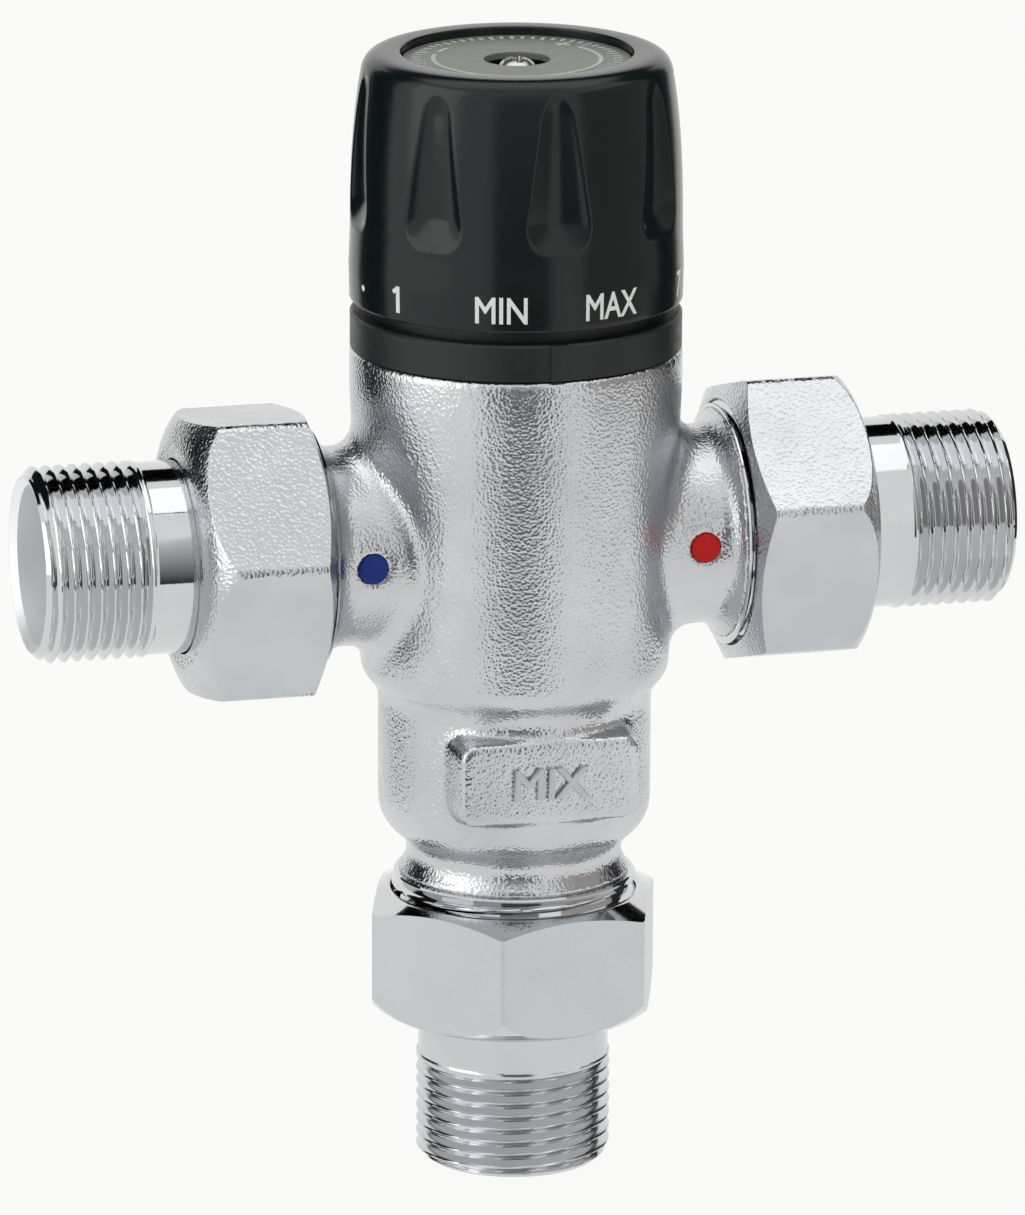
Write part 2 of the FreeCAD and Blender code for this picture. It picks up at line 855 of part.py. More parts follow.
# ---- adjusting nut and overtravel unit ----
def adjusting_nut():
    hex_z = adjuster_top_z - adjuster_hex_height
    body = rod(adjuster_r, adjuster_z, hex_z).fuse(hexagon(adjuster_hex_af, hex_z, adjuster_top_z))
    cup = rod(adjuster_cup_r, adjuster_z - overshoot, adjuster_web_z)
    screw = rod(spindle_thread_r + slide_gap, adjuster_web_z - overshoot, adjuster_top_z + overshoot)
    groove_r = adjuster_cup_r + cup_ring_width / 2
    groove_top = cup_ring_z + cup_ring_thickness + seat_gap
    groove = rod(groove_r, cup_ring_z - seat_gap, groove_top)
    return body.cut([cup, screw, groove])


def open_ring(outer, width, low, thickness, opening):
    """Retaining ring with its opening at the front."""
    high = low + thickness
    cut = block((-opening / 2, -outer, low), (opening / 2, 0, high))
    return tube(outer, outer - width, low, high).cut(cut)


def plunger_circlip():
    outer = adjuster_cup_r + cup_ring_width / 2 - seat_gap
    return open_ring(outer, cup_ring_width, cup_ring_z, cup_ring_thickness, cup_ring_opening)


def overtravel_plunger():
    disc_top = plunger_z + plunger_disc
    return turned([
        (0, plunger_z),
        (adjuster_cup_r - drop_in_gap, plunger_z),
        (adjuster_cup_r - drop_in_gap, disc_top),
        (plunger_boss_r, disc_top),
        (plunger_boss_r - plunger_boss_draft, disc_top + plunger_boss_height),
        (0, disc_top + plunger_boss_height),
    ])


def overtravel_spring():
    mean_r = adjuster_cup_r - drop_in_gap * 2 - overtravel_wire / 2 - spring_play
    low = plunger_z + plunger_disc + seat_gap
    return coil(mean_r, overtravel_wire, low, adjuster_web_z - seat_gap, overtravel_turns)


# ---- headwork ----
def bonnet():
    stem_bore = spindle_stem_r + slide_gap
    skirt_r = skirt_bore_r + bonnet_skirt_wall
    body = turned([
        (skirt_bore_r, cold_seat_z),
        (shutter_r, cold_seat_z),
        (skirt_r, cold_seat_z + bonnet_lip),
        (skirt_r, bonnet_shoulder_z),
        (body_thread_r - bonnet_thread_gap, bonnet_shoulder_z),
        (body_thread_r - bonnet_thread_gap, top_z),
        (bonnet_flange_r, top_z),
        (bonnet_flange_r, top_z + bonnet_flange),
        (bonnet_stem_root_r, top_z + bonnet_flange),
        (bonnet_stem_r, top_z + bonnet_flange + bonnet_stem_root),
        (bonnet_stem_r, bonnet_top_z - bonnet_stem_chamfer),
        (bonnet_stem_r - bonnet_stem_chamfer, bonnet_top_z),
        (stem_bore, bonnet_top_z),
        (stem_bore, bonnet_roof_z),
        (skirt_bore_r, bonnet_roof_z),
    ])
    seal_room = seal_section + 2 * seal_groove_play
    groove_top = top_z + seal_section + 2 * seat_gap
    groove = tube(body_thread_r + seal_room, body_thread_r - overlap, top_z, groove_top)
    hex_low = adjuster_top_z - adjuster_hex_height - bonnet_guide_play
    fill = tube(skirt_bore_r + overlap, stem_bore, hex_low, bonnet_roof_z + overlap)
    body = body.fuse(fill)
    af = adjuster_hex_af + 2 * adjuster_hex_gap
    return body.cut([groove, hexagon(af, hex_low - overshoot, bonnet_roof_z)]).removeSplitter()


def bonnet_oring():
    """In the bonnet flange's groove, on the rim of the body's mouth."""
    outer = body_thread_r + seal_section + seal_groove_play
    return seal(outer, top_z + seal_section / 2 + seat_gap, gap=0)


def spindle():
    stem_top = hub_low_z - spline_below_hub
    clip_z = circlip_z - seat_gap
    body = turned([
        (0, spindle_z),
        (spindle_thread_r - spindle_end_chamfer, spindle_z),
        (spindle_thread_r, spindle_z + spindle_end_chamfer),
        (spindle_thread_r, collar_z),
        (spindle_collar_r, collar_z),
        (spindle_collar_r, collar_top_z),
        (spindle_stem_r, collar_top_z),
        (spindle_stem_r, clip_z),
        (spindle_stem_r - circlip_groove, clip_z),
        (spindle_stem_r - circlip_groove, clip_z + circlip_thickness + 2 * seat_gap),
        (spindle_stem_r, clip_z + circlip_thickness + 2 * seat_gap),
        (spindle_stem_r, stem_top),
        (0, stem_top),
    ])
    body = body.fuse(spline(0.0, stem_top - overlap, spindle_top_z))
    wall = spindle_stem_r + slide_gap
    for depth in (upper_seal_below_top, lower_seal_below_top):
        body = body.cut(seal_groove(wall, bonnet_top_z - depth))
    tapped_low = screw_seat_z - screw_length - overshoot
    tapped = rod(screw_shank_r + slide_gap, tapped_low, spindle_top_z + overshoot)
    return body.cut(tapped).removeSplitter()


def spline(gap, low, high):
    """Toothed prism, larger by a gap for the hole that it fits."""
    points = []
    for i in range(2 * spline_teeth + 1):
        radius = spline_r + gap - (spline_depth if i % 2 else 0)
        points.append(front_angle(180 * i / spline_teeth) * radius + Vector(0, 0, low))
    return Part.Face(Part.makePolygon(points)).extrude(Vector(0, 0, high - low))


def spindle_oring(depth):
    return seal(spindle_stem_r + slide_gap, bonnet_top_z - depth)


def spindle_circlip():
    outer = spindle_stem_r - circlip_groove + seat_gap + circlip_width
    return open_ring(outer, circlip_width, circlip_z, circlip_thickness, circlip_opening)


def indicator_ring():
    roof_z = top_z + bonnet_flange + seat_gap
    inner = bonnet_flange_r + indicator_gap
    body = turned([
        (inner, top_z),
        (indicator_r, top_z),
        (indicator_r, indicator_top_z - indicator_edge),
        (indicator_r - indicator_edge, indicator_top_z),
        (indicator_collar_r, indicator_top_z),
        (indicator_collar_r, indicator_top_z + indicator_collar_height),
        (indicator_collar_r - indicator_collar_wall, indicator_top_z + indicator_collar_height),
        (indicator_collar_r - indicator_collar_wall, roof_z + indicator_roof),
        (indicator_roof_bore, roof_z + indicator_roof),
        (indicator_roof_bore, roof_z),
        (inner, roof_z),
    ])
    half = pointer_width / 2
    rib = tube(indicator_r + pointer_rise, inner + overlap, top_z, indicator_top_z)
    rib = rib.common(block((-half, -indicator_r - overshoot, top_z), (half, 0, indicator_top_z)))
    stop_root = roof_z + indicator_roof / 2
    stop_outer = indicator_collar_r - indicator_collar_wall / 3
    stop = sector(stop_outer, stop_inner_r(), stop_root, stop_top_z(), 180, stop_width)
    return body.multiFuse([rib, stop]).removeSplitter()


def stop_inner_r():
    return indicator_collar_r - indicator_collar_wall - stop_reach


def stop_top_z():
    return indicator_top_z + indicator_collar_height + knob_stop_height


# ---- knob ----
def knob_outside():
    z = knob_z
    shoulder = (knob_shoulder_r, z + knob_shoulder_height)
    round_r = knob_shoulder_r - knob_crown_r
    round_z = knob_height - knob_shoulder_height
    bend = (knob_crown_r + round_r * knob_bow[0], knob_top_z - round_z * knob_bow[1])
    return turned([
        (0, z),
        (knob_foot_r, z),
        (knob_dial_r, z + knob_dial_height),
        ((knob_waist_r, z + knob_waist_height), shoulder),
        (bend, (knob_crown_r, knob_top_z)),
        (knob_recess_r, knob_top_z),
        (knob_recess_r, recess_z),
        (0, recess_z),
    ])


def surface_r(height):
    """The knob's outer radius at a height above its foot."""
    if height > knob_waist_height:
        share = (height - knob_waist_height) / (knob_shoulder_height - knob_waist_height)
        return knob_waist_r + (knob_shoulder_r - knob_waist_r) * share
    share = (height - knob_dial_height) / (knob_waist_height - knob_dial_height)
    return knob_dial_r + (knob_waist_r - knob_dial_r) * share


def flute_circle(height, width, depth):
    """Circle, at the front, that cuts the knob's surface to that width and depth."""
    skin = surface_r(height)
    half = width / 2
    chord = math.sqrt(skin * skin - half * half)
    below = depth - (skin - chord)
    radius = (half * half / below + below) / 2
    centre = Vector(0, -(skin - depth + radius), knob_z + height)
    return Part.Wire(Part.makeCircle(radius, centre, Vector(0, 0, 1)))


def flute():
    """Scoop that is narrow and shallow above, wide and deep below, with a sloping end."""
    top = flute_circle(flute_top, flute_top_width, flute_top_depth)
    deep = flute_circle(flute_deep, flute_deep_width, flute_deep_depth)
    end = flute_circle(flute_end, flute_deep_width * flute_end_width, flute_end_depth)
    above = flute_circle(flute_top, flute_top_width, flute_top_depth)
    above.translate(Vector(0, 0, knob_height - flute_top + overshoot))
    long_part = Part.makeLoft([top, deep], True, True)
    end_part = Part.makeLoft([deep, end], True, True)
    top_part = Part.makeLoft([above, top], True, True)
    return [long_part, end_part, top_part]


def knob_hollow():
    z = knob_z
    wall_low = knob_dial_r - knob_wall
    wall_high = knob_shoulder_r - knob_wall - knob_wall_draft
    return turned([
        (0, z - overshoot),
        (knob_mouth_r, z - overshoot),
        (knob_mouth_r, z + knob_mouth_depth),
        (wall_low, z + knob_mouth_depth + knob_mouth_ramp),
        (wall_high, ceiling_z),
        (knob_hub_r, ceiling_z),
        (knob_hub_r, hub_low_z),
        (0, hub_low_z),
    ])


def knob():
    body = knob_outside().cut(knob_hollow())
    outer = knob_shoulder_r - knob_wall
    half = knob_rib_thickness / 2
    rib_low = ceiling_z - knob_rib_height
    rib = block((knob_hub_r - overlap, -half, rib_low), (outer, half, ceiling_z + overlap))
    rib = turned_copy(rib, 45 / 2)
    stop_out = knob_dial_r - knob_wall + knob_stop_root
    stop_at = 180 + knob_stop_rest()
    stop = sector(stop_out, stop_inner_r(), stop_low_z(), ceiling_z + overlap, stop_at, knob_stop_width)
    body = body.multiFuse(around(rib, knob_rib_count) + [stop])
    cutters = []
    for scoop in flute():
        cutters += around(scoop, flute_count)
    cutters.append(spline(slide_gap, hub_low_z - overshoot, spindle_top_z + knob_hub_end_gap))
    cutters.append(rod(screw_shank_r + screw_hole_gap, knob_z, knob_top_z))
    cutters.append(rod(disc_hole_r, screw_seat_z, knob_top_z))
    return body.cut(cutters).removeSplitter()


def knob_stop_rest():
    """Angle of the knob's stop past the fixed one, with equal play at both ends of the turn."""
    return (360 - knob_turn) / 2


def stop_low_z():
    return indicator_top_z + indicator_collar_height + stop_clearance


def knob_disc():
    low = recess_z
    outer = knob_recess_r - disc_gap
    high = low + disc_thickness
    return turned([
        (disc_hole_r, low),
        (outer, low),
        (outer, high - disc_edge),
        (outer - disc_edge, high),
        (disc_hole_r, high),
    ])


def knob_screw():
    low = screw_seat_z
    top = low + screw_head
    body = turned([
        (0, low - screw_length),
        (screw_shank_r - screw_point, low - screw_length),
        (screw_shank_r, low - screw_length + screw_point),
        (screw_shank_r, low),
        (screw_head_r, low),
        (screw_head_r, top - screw_dome_height),
        ((screw_head_r - screw_dome_bow, top - screw_dome_bow), (screw_head_r - screw_dome_width, top)),
        (0, top),
    ])
    cross = []
    half, reach = screw_slot / 2, screw_head_r * screw_slot_share
    for length, width in ((reach, half), (half, reach)):
        cross.append(block((-length, -width, top - screw_slot_depth), (length, width, top + overshoot)))
    return body.cut(cross)


# ---- the assembly ----
pieces = {
    "valve_body": valve_body(),
    "bonnet": bonnet(),
    "bonnet_oring": bonnet_oring(),
    "indicator_ring": indicator_ring(),
    "knob": knob(),
    "knob_disc": knob_disc(),
    "knob_screw": knob_screw(),
    "spindle": spindle(),
    "spindle_oring_upper": spindle_oring(upper_seal_below_top),
    "spindle_oring_lower": spindle_oring(lower_seal_below_top),
    "spindle_circlip": spindle_circlip(),
    "adjusting_nut": adjusting_nut(),
    "plunger_circlip": plunger_circlip(),
    "overtravel_plunger": overtravel_plunger(),
    "overtravel_spring": overtravel_spring(),
    "shutter": shutter(),
    "shutter_oring": seal(web_r, hot_seat_z + shutter_seal_rise),
    "thermostatic_element": thermostatic_element(),
    "element_pin": element_pin(),
    "hot_seat": hot_seat(),
    "return_spring": return_spring(),
    "outlet_tailpiece": tailpiece(),
    "outlet_union_nut": union_nut(corner_outlet),
    "outlet_gasket": gasket(),
}
for name, side, corner in (("cold", -1, corner_cold), ("hot", 1, corner_hot)):
    pieces[name + "_tailpiece"] = to_inlet(tailpiece(), side)
    pieces[name + "_union_nut"] = to_inlet(union_nut(corner), side)
    pieces[name + "_gasket"] = to_inlet(gasket(), side)
    pieces[name + "_check_housing"] = to_inlet(check_housing(), side)
    pieces[name + "_check_oring"] = to_inlet(check_oring(), side)
    pieces[name + "_check_poppet"] = to_inlet(check_poppet(), side)
    pieces[name + "_check_spring"] = to_inlet(check_spring(), side)
    pieces[name + "_strainer"] = to_inlet(strainer(), side)
    pieces[name + "_mark"] = colour_mark(side)

os.makedirs("parts", exist_ok=True)
for name, shape in pieces.items():
    print(f"{name}: {len(shape.Solids)} solid, valid {shape.isValid()}, {shape.Volume / 1000:.2f} cm3")
    shape.exportStep(f"parts/{name}.step")
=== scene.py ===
import math

import bmesh
import bpy
from mathutils import Matrix, Vector


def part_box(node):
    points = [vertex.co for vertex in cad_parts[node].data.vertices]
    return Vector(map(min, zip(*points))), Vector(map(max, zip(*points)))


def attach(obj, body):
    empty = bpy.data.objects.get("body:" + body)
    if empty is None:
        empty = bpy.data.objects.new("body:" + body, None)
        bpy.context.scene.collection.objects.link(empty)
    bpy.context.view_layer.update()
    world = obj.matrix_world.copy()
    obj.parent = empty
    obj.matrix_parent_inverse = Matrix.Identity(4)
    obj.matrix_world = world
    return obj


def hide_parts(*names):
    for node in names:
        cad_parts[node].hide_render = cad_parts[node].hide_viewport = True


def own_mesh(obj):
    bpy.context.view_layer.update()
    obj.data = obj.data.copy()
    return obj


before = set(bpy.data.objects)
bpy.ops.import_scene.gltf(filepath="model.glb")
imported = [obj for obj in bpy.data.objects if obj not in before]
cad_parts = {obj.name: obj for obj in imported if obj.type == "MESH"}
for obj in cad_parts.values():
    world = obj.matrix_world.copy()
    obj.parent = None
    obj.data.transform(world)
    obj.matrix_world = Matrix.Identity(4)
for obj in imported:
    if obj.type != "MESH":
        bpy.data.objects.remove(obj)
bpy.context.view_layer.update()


# ---- valve body ----
# One hot-pressed brass forging: a trunk with two necks, bored out and threaded on its spigots.
# It is blasted and then chrome plated, so its skin is bright but grained, with soft edges.
MM = 0.001
forging_voxel = 0.55 * MM
forging_smoothing = 3
neck_bottom = 40.5 * MM  # where the outlet's thread begins, above the valve's foot
neck_end = 28.3 * MM  # where an inlet's thread begins, from the trunk's axis
thread_core_r = 15.0 * MM  # what the spigots are turned down to, under their threads
lip_r, lip_height, lip_slope = 15.3 * MM, 2.0 * MM, 0.7  # the lower neck's foot, above its thread
cut_margin = 0.1 * MM  # how far past a thread's end its cut begins


def paint(code):
    """An sRGB hex colour as the linear one that a shader takes."""
    channels = [int(code[i:i + 2], 16) / 255 for i in (1, 3, 5)]
    linear = [c / 12.92 if c <= 0.04045 else ((c + 0.055) / 1.055) ** 2.4 for c in channels]
    return (*linear, 1.0)


def add_node(tree, kind, values=None, links=None, **settings):
    """Adds a node with its settings, its own socket values and its links from other nodes' outputs."""
    node = tree.nodes.new(kind)
    for name, value in settings.items():
        setattr(node, name, value)
    for name, value in (values or {}).items():
        node.inputs[name].default_value = value
    for name, output in (links or {}).items():
        tree.links.new(output, node.inputs[name])
    return node


def new_material(name, **values):
    """A material with one shader, whose plain values are set on its own sockets."""
    material = bpy.data.materials.new(name)
    material.use_nodes = True
    shader = material.node_tree.nodes["Principled BSDF"]
    for socket, value in values.items():
        shader.inputs[socket.replace("_", " ")].default_value = value
    return material, material.node_tree, shader


def noise(tree, grain, detail=2.0):
    """A noise pattern fixed to the piece, with its grain in millimetres."""
    place = add_node(tree, "ShaderNodeTexCoord").outputs["Object"]
    pattern = add_node(tree, "ShaderNodeTexNoise", {"Scale": 1 / (grain * MM), "Detail": detail},
                       {"Vector": place})
    return pattern.outputs["Fac"]


def spread(tree, pattern, low, high):
    """A noise pattern, which mostly keeps between 0.3 and 0.7, turned into values from low to high."""
    values = {"From Min": 0.3, "From Max": 0.7, "To Min": low, "To Max": high}
    return add_node(tree, "ShaderNodeMapRange", values, {"Value": pattern}).outputs["Result"]


def relief(tree, shader, heights):
    """Surface relief from (pattern, depth in millimetres) pairs, one on top of the other."""
    normal = None
    for pattern, depth in heights:
        links = {"Height": pattern}
        if normal:
            links["Normal"] = normal
        bump = add_node(tree, "ShaderNodeBump", {"Distance": depth * MM}, links)
        normal = bump.outputs["Normal"]
    tree.links.new(normal, shader.inputs["Normal"])


def blend_colours(tree, shader, pattern, first, second):
    """Base colour that wanders between two tints."""
    mix = add_node(tree, "ShaderNodeMix", data_type="RGBA")
    mix.inputs["A"].default_value = paint(first)
    mix.inputs["B"].default_value = paint(second)
    tree.links.new(pattern, mix.inputs["Factor"])
    tree.links.new(mix.outputs["Result"], shader.inputs["Base Color"])


def pits(tree, size):
    """Round pits side by side, as blasting leaves them, with their width in millimetres."""
    place = add_node(tree, "ShaderNodeTexCoord").outputs["Object"]
    pattern = add_node(tree, "ShaderNodeTexVoronoi", {"Scale": 1 / (size * MM)}, {"Vector": place})
    return pattern.outputs["Distance"]


def metal(name, tints, rough, grains, wander=12.0, pitted=None):
    """A metal finish: two near tints, a range of roughness, and relief from coarse to fine.
    A grain is (width, depth) in millimetres, and so are the pits."""
    material, tree, shader = new_material(name, Metallic=1.0)
    blend_colours(tree, shader, spread(tree, noise(tree, wander), 0.0, 1.0), *tints)
    tree.links.new(spread(tree, noise(tree, grains[0][0] * 1.7), *rough), shader.inputs["Roughness"])
    heights = [(noise(tree, grain, 1.0), depth) for grain, depth in grains]
    if pitted:
        heights.append((pits(tree, pitted[0]), pitted[1]))
    relief(tree, shader, heights)
    return material


def merged(node):
    """A copy of a CAD piece's mesh with its loose triangles joined."""
    bm = bmesh.new()
    bm.from_mesh(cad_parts[node].data)
    bmesh.ops.remove_doubles(bm, verts=bm.verts, dist=1e-6)
    return bm


def cut_back(verts, centre, axis, most):
    """Pulls vertices in to a greatest distance from an axis through a centre."""
    for vert in verts:
        out = vert.co - centre
        out -= axis * out.dot(axis)
        if out.length > most:
            vert.co -= out * (1 - most / out.length)


def add_piece(name, bm, body, materials, replaced=(), sharp=35, weighted=True):
    """Makes a finished mesh a piece of the scene, riding on a body, in place of CAD pieces."""
    bmesh.ops.remove_doubles(bm, verts=bm.verts, dist=1e-7)
    bmesh.ops.recalc_face_normals(bm, faces=bm.faces)
    mesh = bpy.data.meshes.new(name)
    bm.to_mesh(mesh)
    bm.free()
    mesh.shade_smooth()
    if sharp:
        mesh.set_sharp_from_angle(angle=math.radians(sharp))
    for material in materials:
        mesh.materials.append(material)
    piece = bpy.data.objects.new(name, mesh)
    bpy.context.scene.collection.objects.link(piece)
    if weighted:
        piece.modifiers.new("even shading", "WEIGHTED_NORMAL").keep_sharp = True
    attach(piece, body)
    if replaced:
        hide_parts(*replaced)
    return piece


tail_low, tail_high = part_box("cold_tailpiece")
inlet_z = (tail_low.z + tail_high.z) / 2
inlet_reach = -tail_low.x
up, across = Vector((0, 0, 1)), Vector((1, 0, 0))

# Blasted chrome: bright plate over a dimpled skin, so a reflection breaks up into dark and light
# specks. Shot leaves pits of 0.1 to 0.3 mm, too fine to show, so they are drawn 0.46 mm wide. The
# swells of 0.7 and 2.4 mm are the forging die's own unevenness.
blasted_chrome = metal("blasted chrome", ("#bfc1c5", "#cdcfd2"), (0.17, 0.25), [(2.4, 0.02), (0.7, 0.03)],
                       pitted=(0.46, 0.058))


def forged_skin():
    """The body's own shape with every edge softened, as a forging has it."""
    bm = merged("valve_body")
    rough = bpy.data.meshes.new("rough forging")
    bm.to_mesh(rough)
    holder = bpy.data.objects.new("rough forging", rough)
    bpy.context.scene.collection.objects.link(holder)
    remesh = holder.modifiers.new("skin", "REMESH")
    remesh.mode = "VOXEL"
    remesh.voxel_size = forging_voxel
    evaluated = holder.evaluated_get(bpy.context.evaluated_depsgraph_get())
    bm.clear()
    bm.from_mesh(evaluated.to_mesh())
    bpy.data.objects.remove(holder)
    for _ in range(forging_smoothing):
        bmesh.ops.smooth_vert(bm, verts=bm.verts, factor=0.5, use_axis_x=True, use_axis_y=True,
                              use_axis_z=True)
    outlet = [vert for vert in bm.verts if vert.co.z < neck_bottom - cut_margin]
    cut_back(outlet, Vector(), up, thread_core_r)
    for vert in bm.verts:
        above = vert.co.z - neck_bottom + cut_margin
        if 0 <= above < lip_height:
            cut_back([vert], Vector(), up, lip_r + above * lip_slope)
    for side in (-1, 1):
        spigot = [vert for vert in bm.verts if vert.co.x * side > neck_end + cut_margin]
        cut_back(spigot, Vector((0, 0, inlet_z)), across, thread_core_r)
    return bm


add_piece("body_skin", forged_skin(), "valve", [blasted_chrome], ["valve_body"],
          sharp=None, weighted=False)


# ---- lettering on the pad ----
# The three letters that say which end gives mixed water. They are raised in the forging die and
# plated with the body, so they have its finish and rounded edges.
def flat_letters(words, width, height, thickness, edge=0.0):
    """Raised letters in the XY plane, centred, from the standard font, sized in millimetres."""
    curve = bpy.data.curves.new(words, "FONT")
    curve.body = words
    curve.resolution_u = 5
    curve.extrude = 0.1
    if edge:
        curve.bevel_depth = edge
        curve.bevel_resolution = 1
    holder = bpy.data.objects.new(words, curve)
    bpy.context.scene.collection.objects.link(holder)
    graph = bpy.context.evaluated_depsgraph_get()
    mesh = bpy.data.meshes.new_from_object(holder.evaluated_get(graph))
    bpy.data.objects.remove(holder)
    bm = bmesh.new()
    bm.from_mesh(mesh)
    bmesh.ops.remove_doubles(bm, verts=bm.verts, dist=1e-5)
    for axis, size in enumerate((width, height, thickness)):
        low = min(vert.co[axis] for vert in bm.verts)
        high = max(vert.co[axis] for vert in bm.verts)
        for vert in bm.verts:
            vert.co[axis] = (vert.co[axis] - (low + high) / 2) * size * MM / (high - low)
    return bm


letters_width, letters_height, letters_depth = 10.6, 4.3, 1.1
letters_y = -19.35 * MM  # the middle of their depth, so that half of it is sunk in the pad
letters_z = 57.7 * MM
# Plated lettering: the body's plate on tops that blasting hardly reaches, so they stay smooth and a
# little darker than the pad. The 2.4 mm swell is the die's.
plated_letters = metal("plated lettering", ("#b4b6ba", "#bdbfc3"), (0.2, 0.28), [(2.4, 0.01)])
letters = flat_letters("MIX", letters_width, letters_height, letters_depth, edge=0.03)
bmesh.ops.rotate(letters, verts=letters.verts, matrix=Matrix.Rotation(math.pi / 2, 3, "X"))
bmesh.ops.translate(letters, verts=letters.verts, vec=(0, letters_y, letters_z))
add_piece("pad_letters", letters, "valve", [plated_letters])


# ---- pipe threads of the spigots ----
# The union nuts run on G 1 threads, eleven turns to the inch, cut after the body is bored.
# They are plated with the body but not blasted, so they stay bright.
union_pitch = 25.4 / 11
union_crest_r, union_root_r = 16.62, 15.15
spigot_core_r = 14.9
outlet_stretch = (35.0, 40.5)  # what is threaded, in heights above the valve's foot
inlet_stretch = (28.3, 33.0)  # and in distances from the trunk's axis
spigot_run_in, spigot_run_out = 0.0, 0.35
thread_rows = 16  # points along one pitch
spigot_segments = 160

# Polished chrome: nearly a mirror, so it shows the room in hard bands. Buffing leaves a 5 mm wave.
# Its scratches are hundredths of a millimetre wide, too fine to show, and are drawn 0.35 mm wide.
polished_chrome = metal("polished chrome", ("#c9cbce", "#d2d3d5"), (0.05, 0.09),
                        [(5.0, 0.008), (0.35, 0.0015)])
# Satin chrome: plate over a fine-ground flat, so it is even and softly bright. The grinding marks are
# too fine to show and are drawn 0.3 mm wide.
satin_chrome = metal("satin chrome", ("#c3c6c9", "#c9cccf"), (0.26, 0.32), [(0.3, 0.004)])


def rounded(corners, steps=4):
    """Rounds the corners of a half section. A corner is (radius, height) or (radius, height, rounding)."""
    most = 0.45  # of a side's length, so that its two roundings don't meet
    points = []
    for i, corner in enumerate(corners):
        here = Vector(corner[:2])
        if len(corner) == 2:
            points.append(here)
            continue
        before = Vector(corners[i - 1][:2]) - here
        after = Vector(corners[(i + 1) % len(corners)][:2]) - here
        start = here + before.normalized() * min(corner[2], before.length * most)
        end = here + after.normalized() * min(corner[2], after.length * most)
        for k in range(steps + 1):
            t = k / steps
            points.append(start * (1 - t) ** 2 + here * 2 * t * (1 - t) + end * t * t)
    return points


def along(start, end, count):
    """Points from start towards end, without the end itself."""
    a, b = Vector(start), Vector(end)
    return [a.lerp(b, i / count) for i in range(count)]


def lathe(points, segments):
    """Turns a closed half section, (radius, height) in millimetres, about Z."""
    bm = bmesh.new()
    ring = [bm.verts.new((point[0] * MM, 0, point[1] * MM)) for point in points]
    edges = [bm.edges.new((ring[i - 1], ring[i])) for i in range(len(ring))]
    bmesh.ops.spin(bm, geom=ring + edges, cent=(0, 0, 0), axis=(0, 0, 1), angle=2 * math.pi,
                   steps=segments, use_merge=True)
    return bm


def cut_thread(bm, pitch, root, crest, low, high, run_in, run_out):
    """Cuts a right-hand thread into a turned piece's outside, with a chamfer at its start."""
    sharpness = 0.95  # one gives a plain vee, nought a round wave
    skin = 0.3  # what lies deeper than this under the roots isn't cut
    for vert in bm.verts:
        height = vert.co.z / MM
        radius = math.hypot(vert.co.x, vert.co.y)
        if radius < (root - skin) * MM or not low - 1e-6 <= height <= high + 1e-6:
            continue
        phase = 2 * math.pi * height / pitch - math.atan2(vert.co.y, vert.co.x)
        wave = math.asin(sharpness * math.sin(phase)) / math.asin(sharpness)
        cut = (crest + root) / 2 + (crest - root) / 2 * wave
        cut = min(cut, crest - run_in + (height - low))
        rest = radius / MM
        fade = min(1.0, max(0.0, (high - height) / run_out))
        cut = rest + (cut - rest) * fade * fade * (3 - 2 * fade)
        vert.co.x *= cut * MM / radius
        vert.co.y *= cut * MM / radius


def to_inlet(bm, side):
    """Moves a piece made along Z, outer end at zero, into the cold (-1) or hot (1) inlet."""
    bmesh.ops.rotate(bm, verts=bm.verts, matrix=Matrix.Rotation(math.radians(-90 * side), 3, "Y"))
    bmesh.ops.translate(bm, verts=bm.verts, vec=(side * inlet_reach, 0, inlet_z))
    return bm


def spigot_thread(low, high):
    """The stretch of a spigot's thread that shows behind its nut."""
    crest = union_crest_r
    rows = int((high - low) / union_pitch * thread_rows)
    cut_end = high - 0.1
    section = [(spigot_core_r, high), (spigot_core_r, low)] + along((crest, low), (crest, cut_end), rows)
    bm = lathe(section + [(crest - 0.5, high)], spigot_segments)
    cut_thread(bm, union_pitch, union_root_r, crest, low, cut_end, spigot_run_in, spigot_run_out)
    return bm


tail_end = inlet_reach / MM
add_piece("outlet_spigot_thread", spigot_thread(*outlet_stretch), "valve",
          [polished_chrome])
for name, side in (("cold", -1), ("hot", 1)):
    bm = to_inlet(spigot_thread(tail_end - inlet_stretch[1], tail_end - inlet_stretch[0]), side)
    add_piece(name + "_spigot_thread", bm, "valve", [polished_chrome])


# ---- colour marks ----
# A blue and a red enamel plug, pressed into the front of each neck to tell cold from hot.
# The enamel stands up a little, with a rounded rim.
plug_r, plug_depth, plug_rim = 1.98, 1.1, 0.3


def enamel(name, tints):
    """Stoved enamel: one strong colour under a soft gloss, with a faint pull in its surface."""
    material, tree, shader = new_material(name, Roughness=0.5, Specular_IOR_Level=0.25)
    blend_colours(tree, shader, noise(tree, 1.1), *tints)
    relief(tree, shader, [(noise(tree, 0.5), 0.01)])
    return material


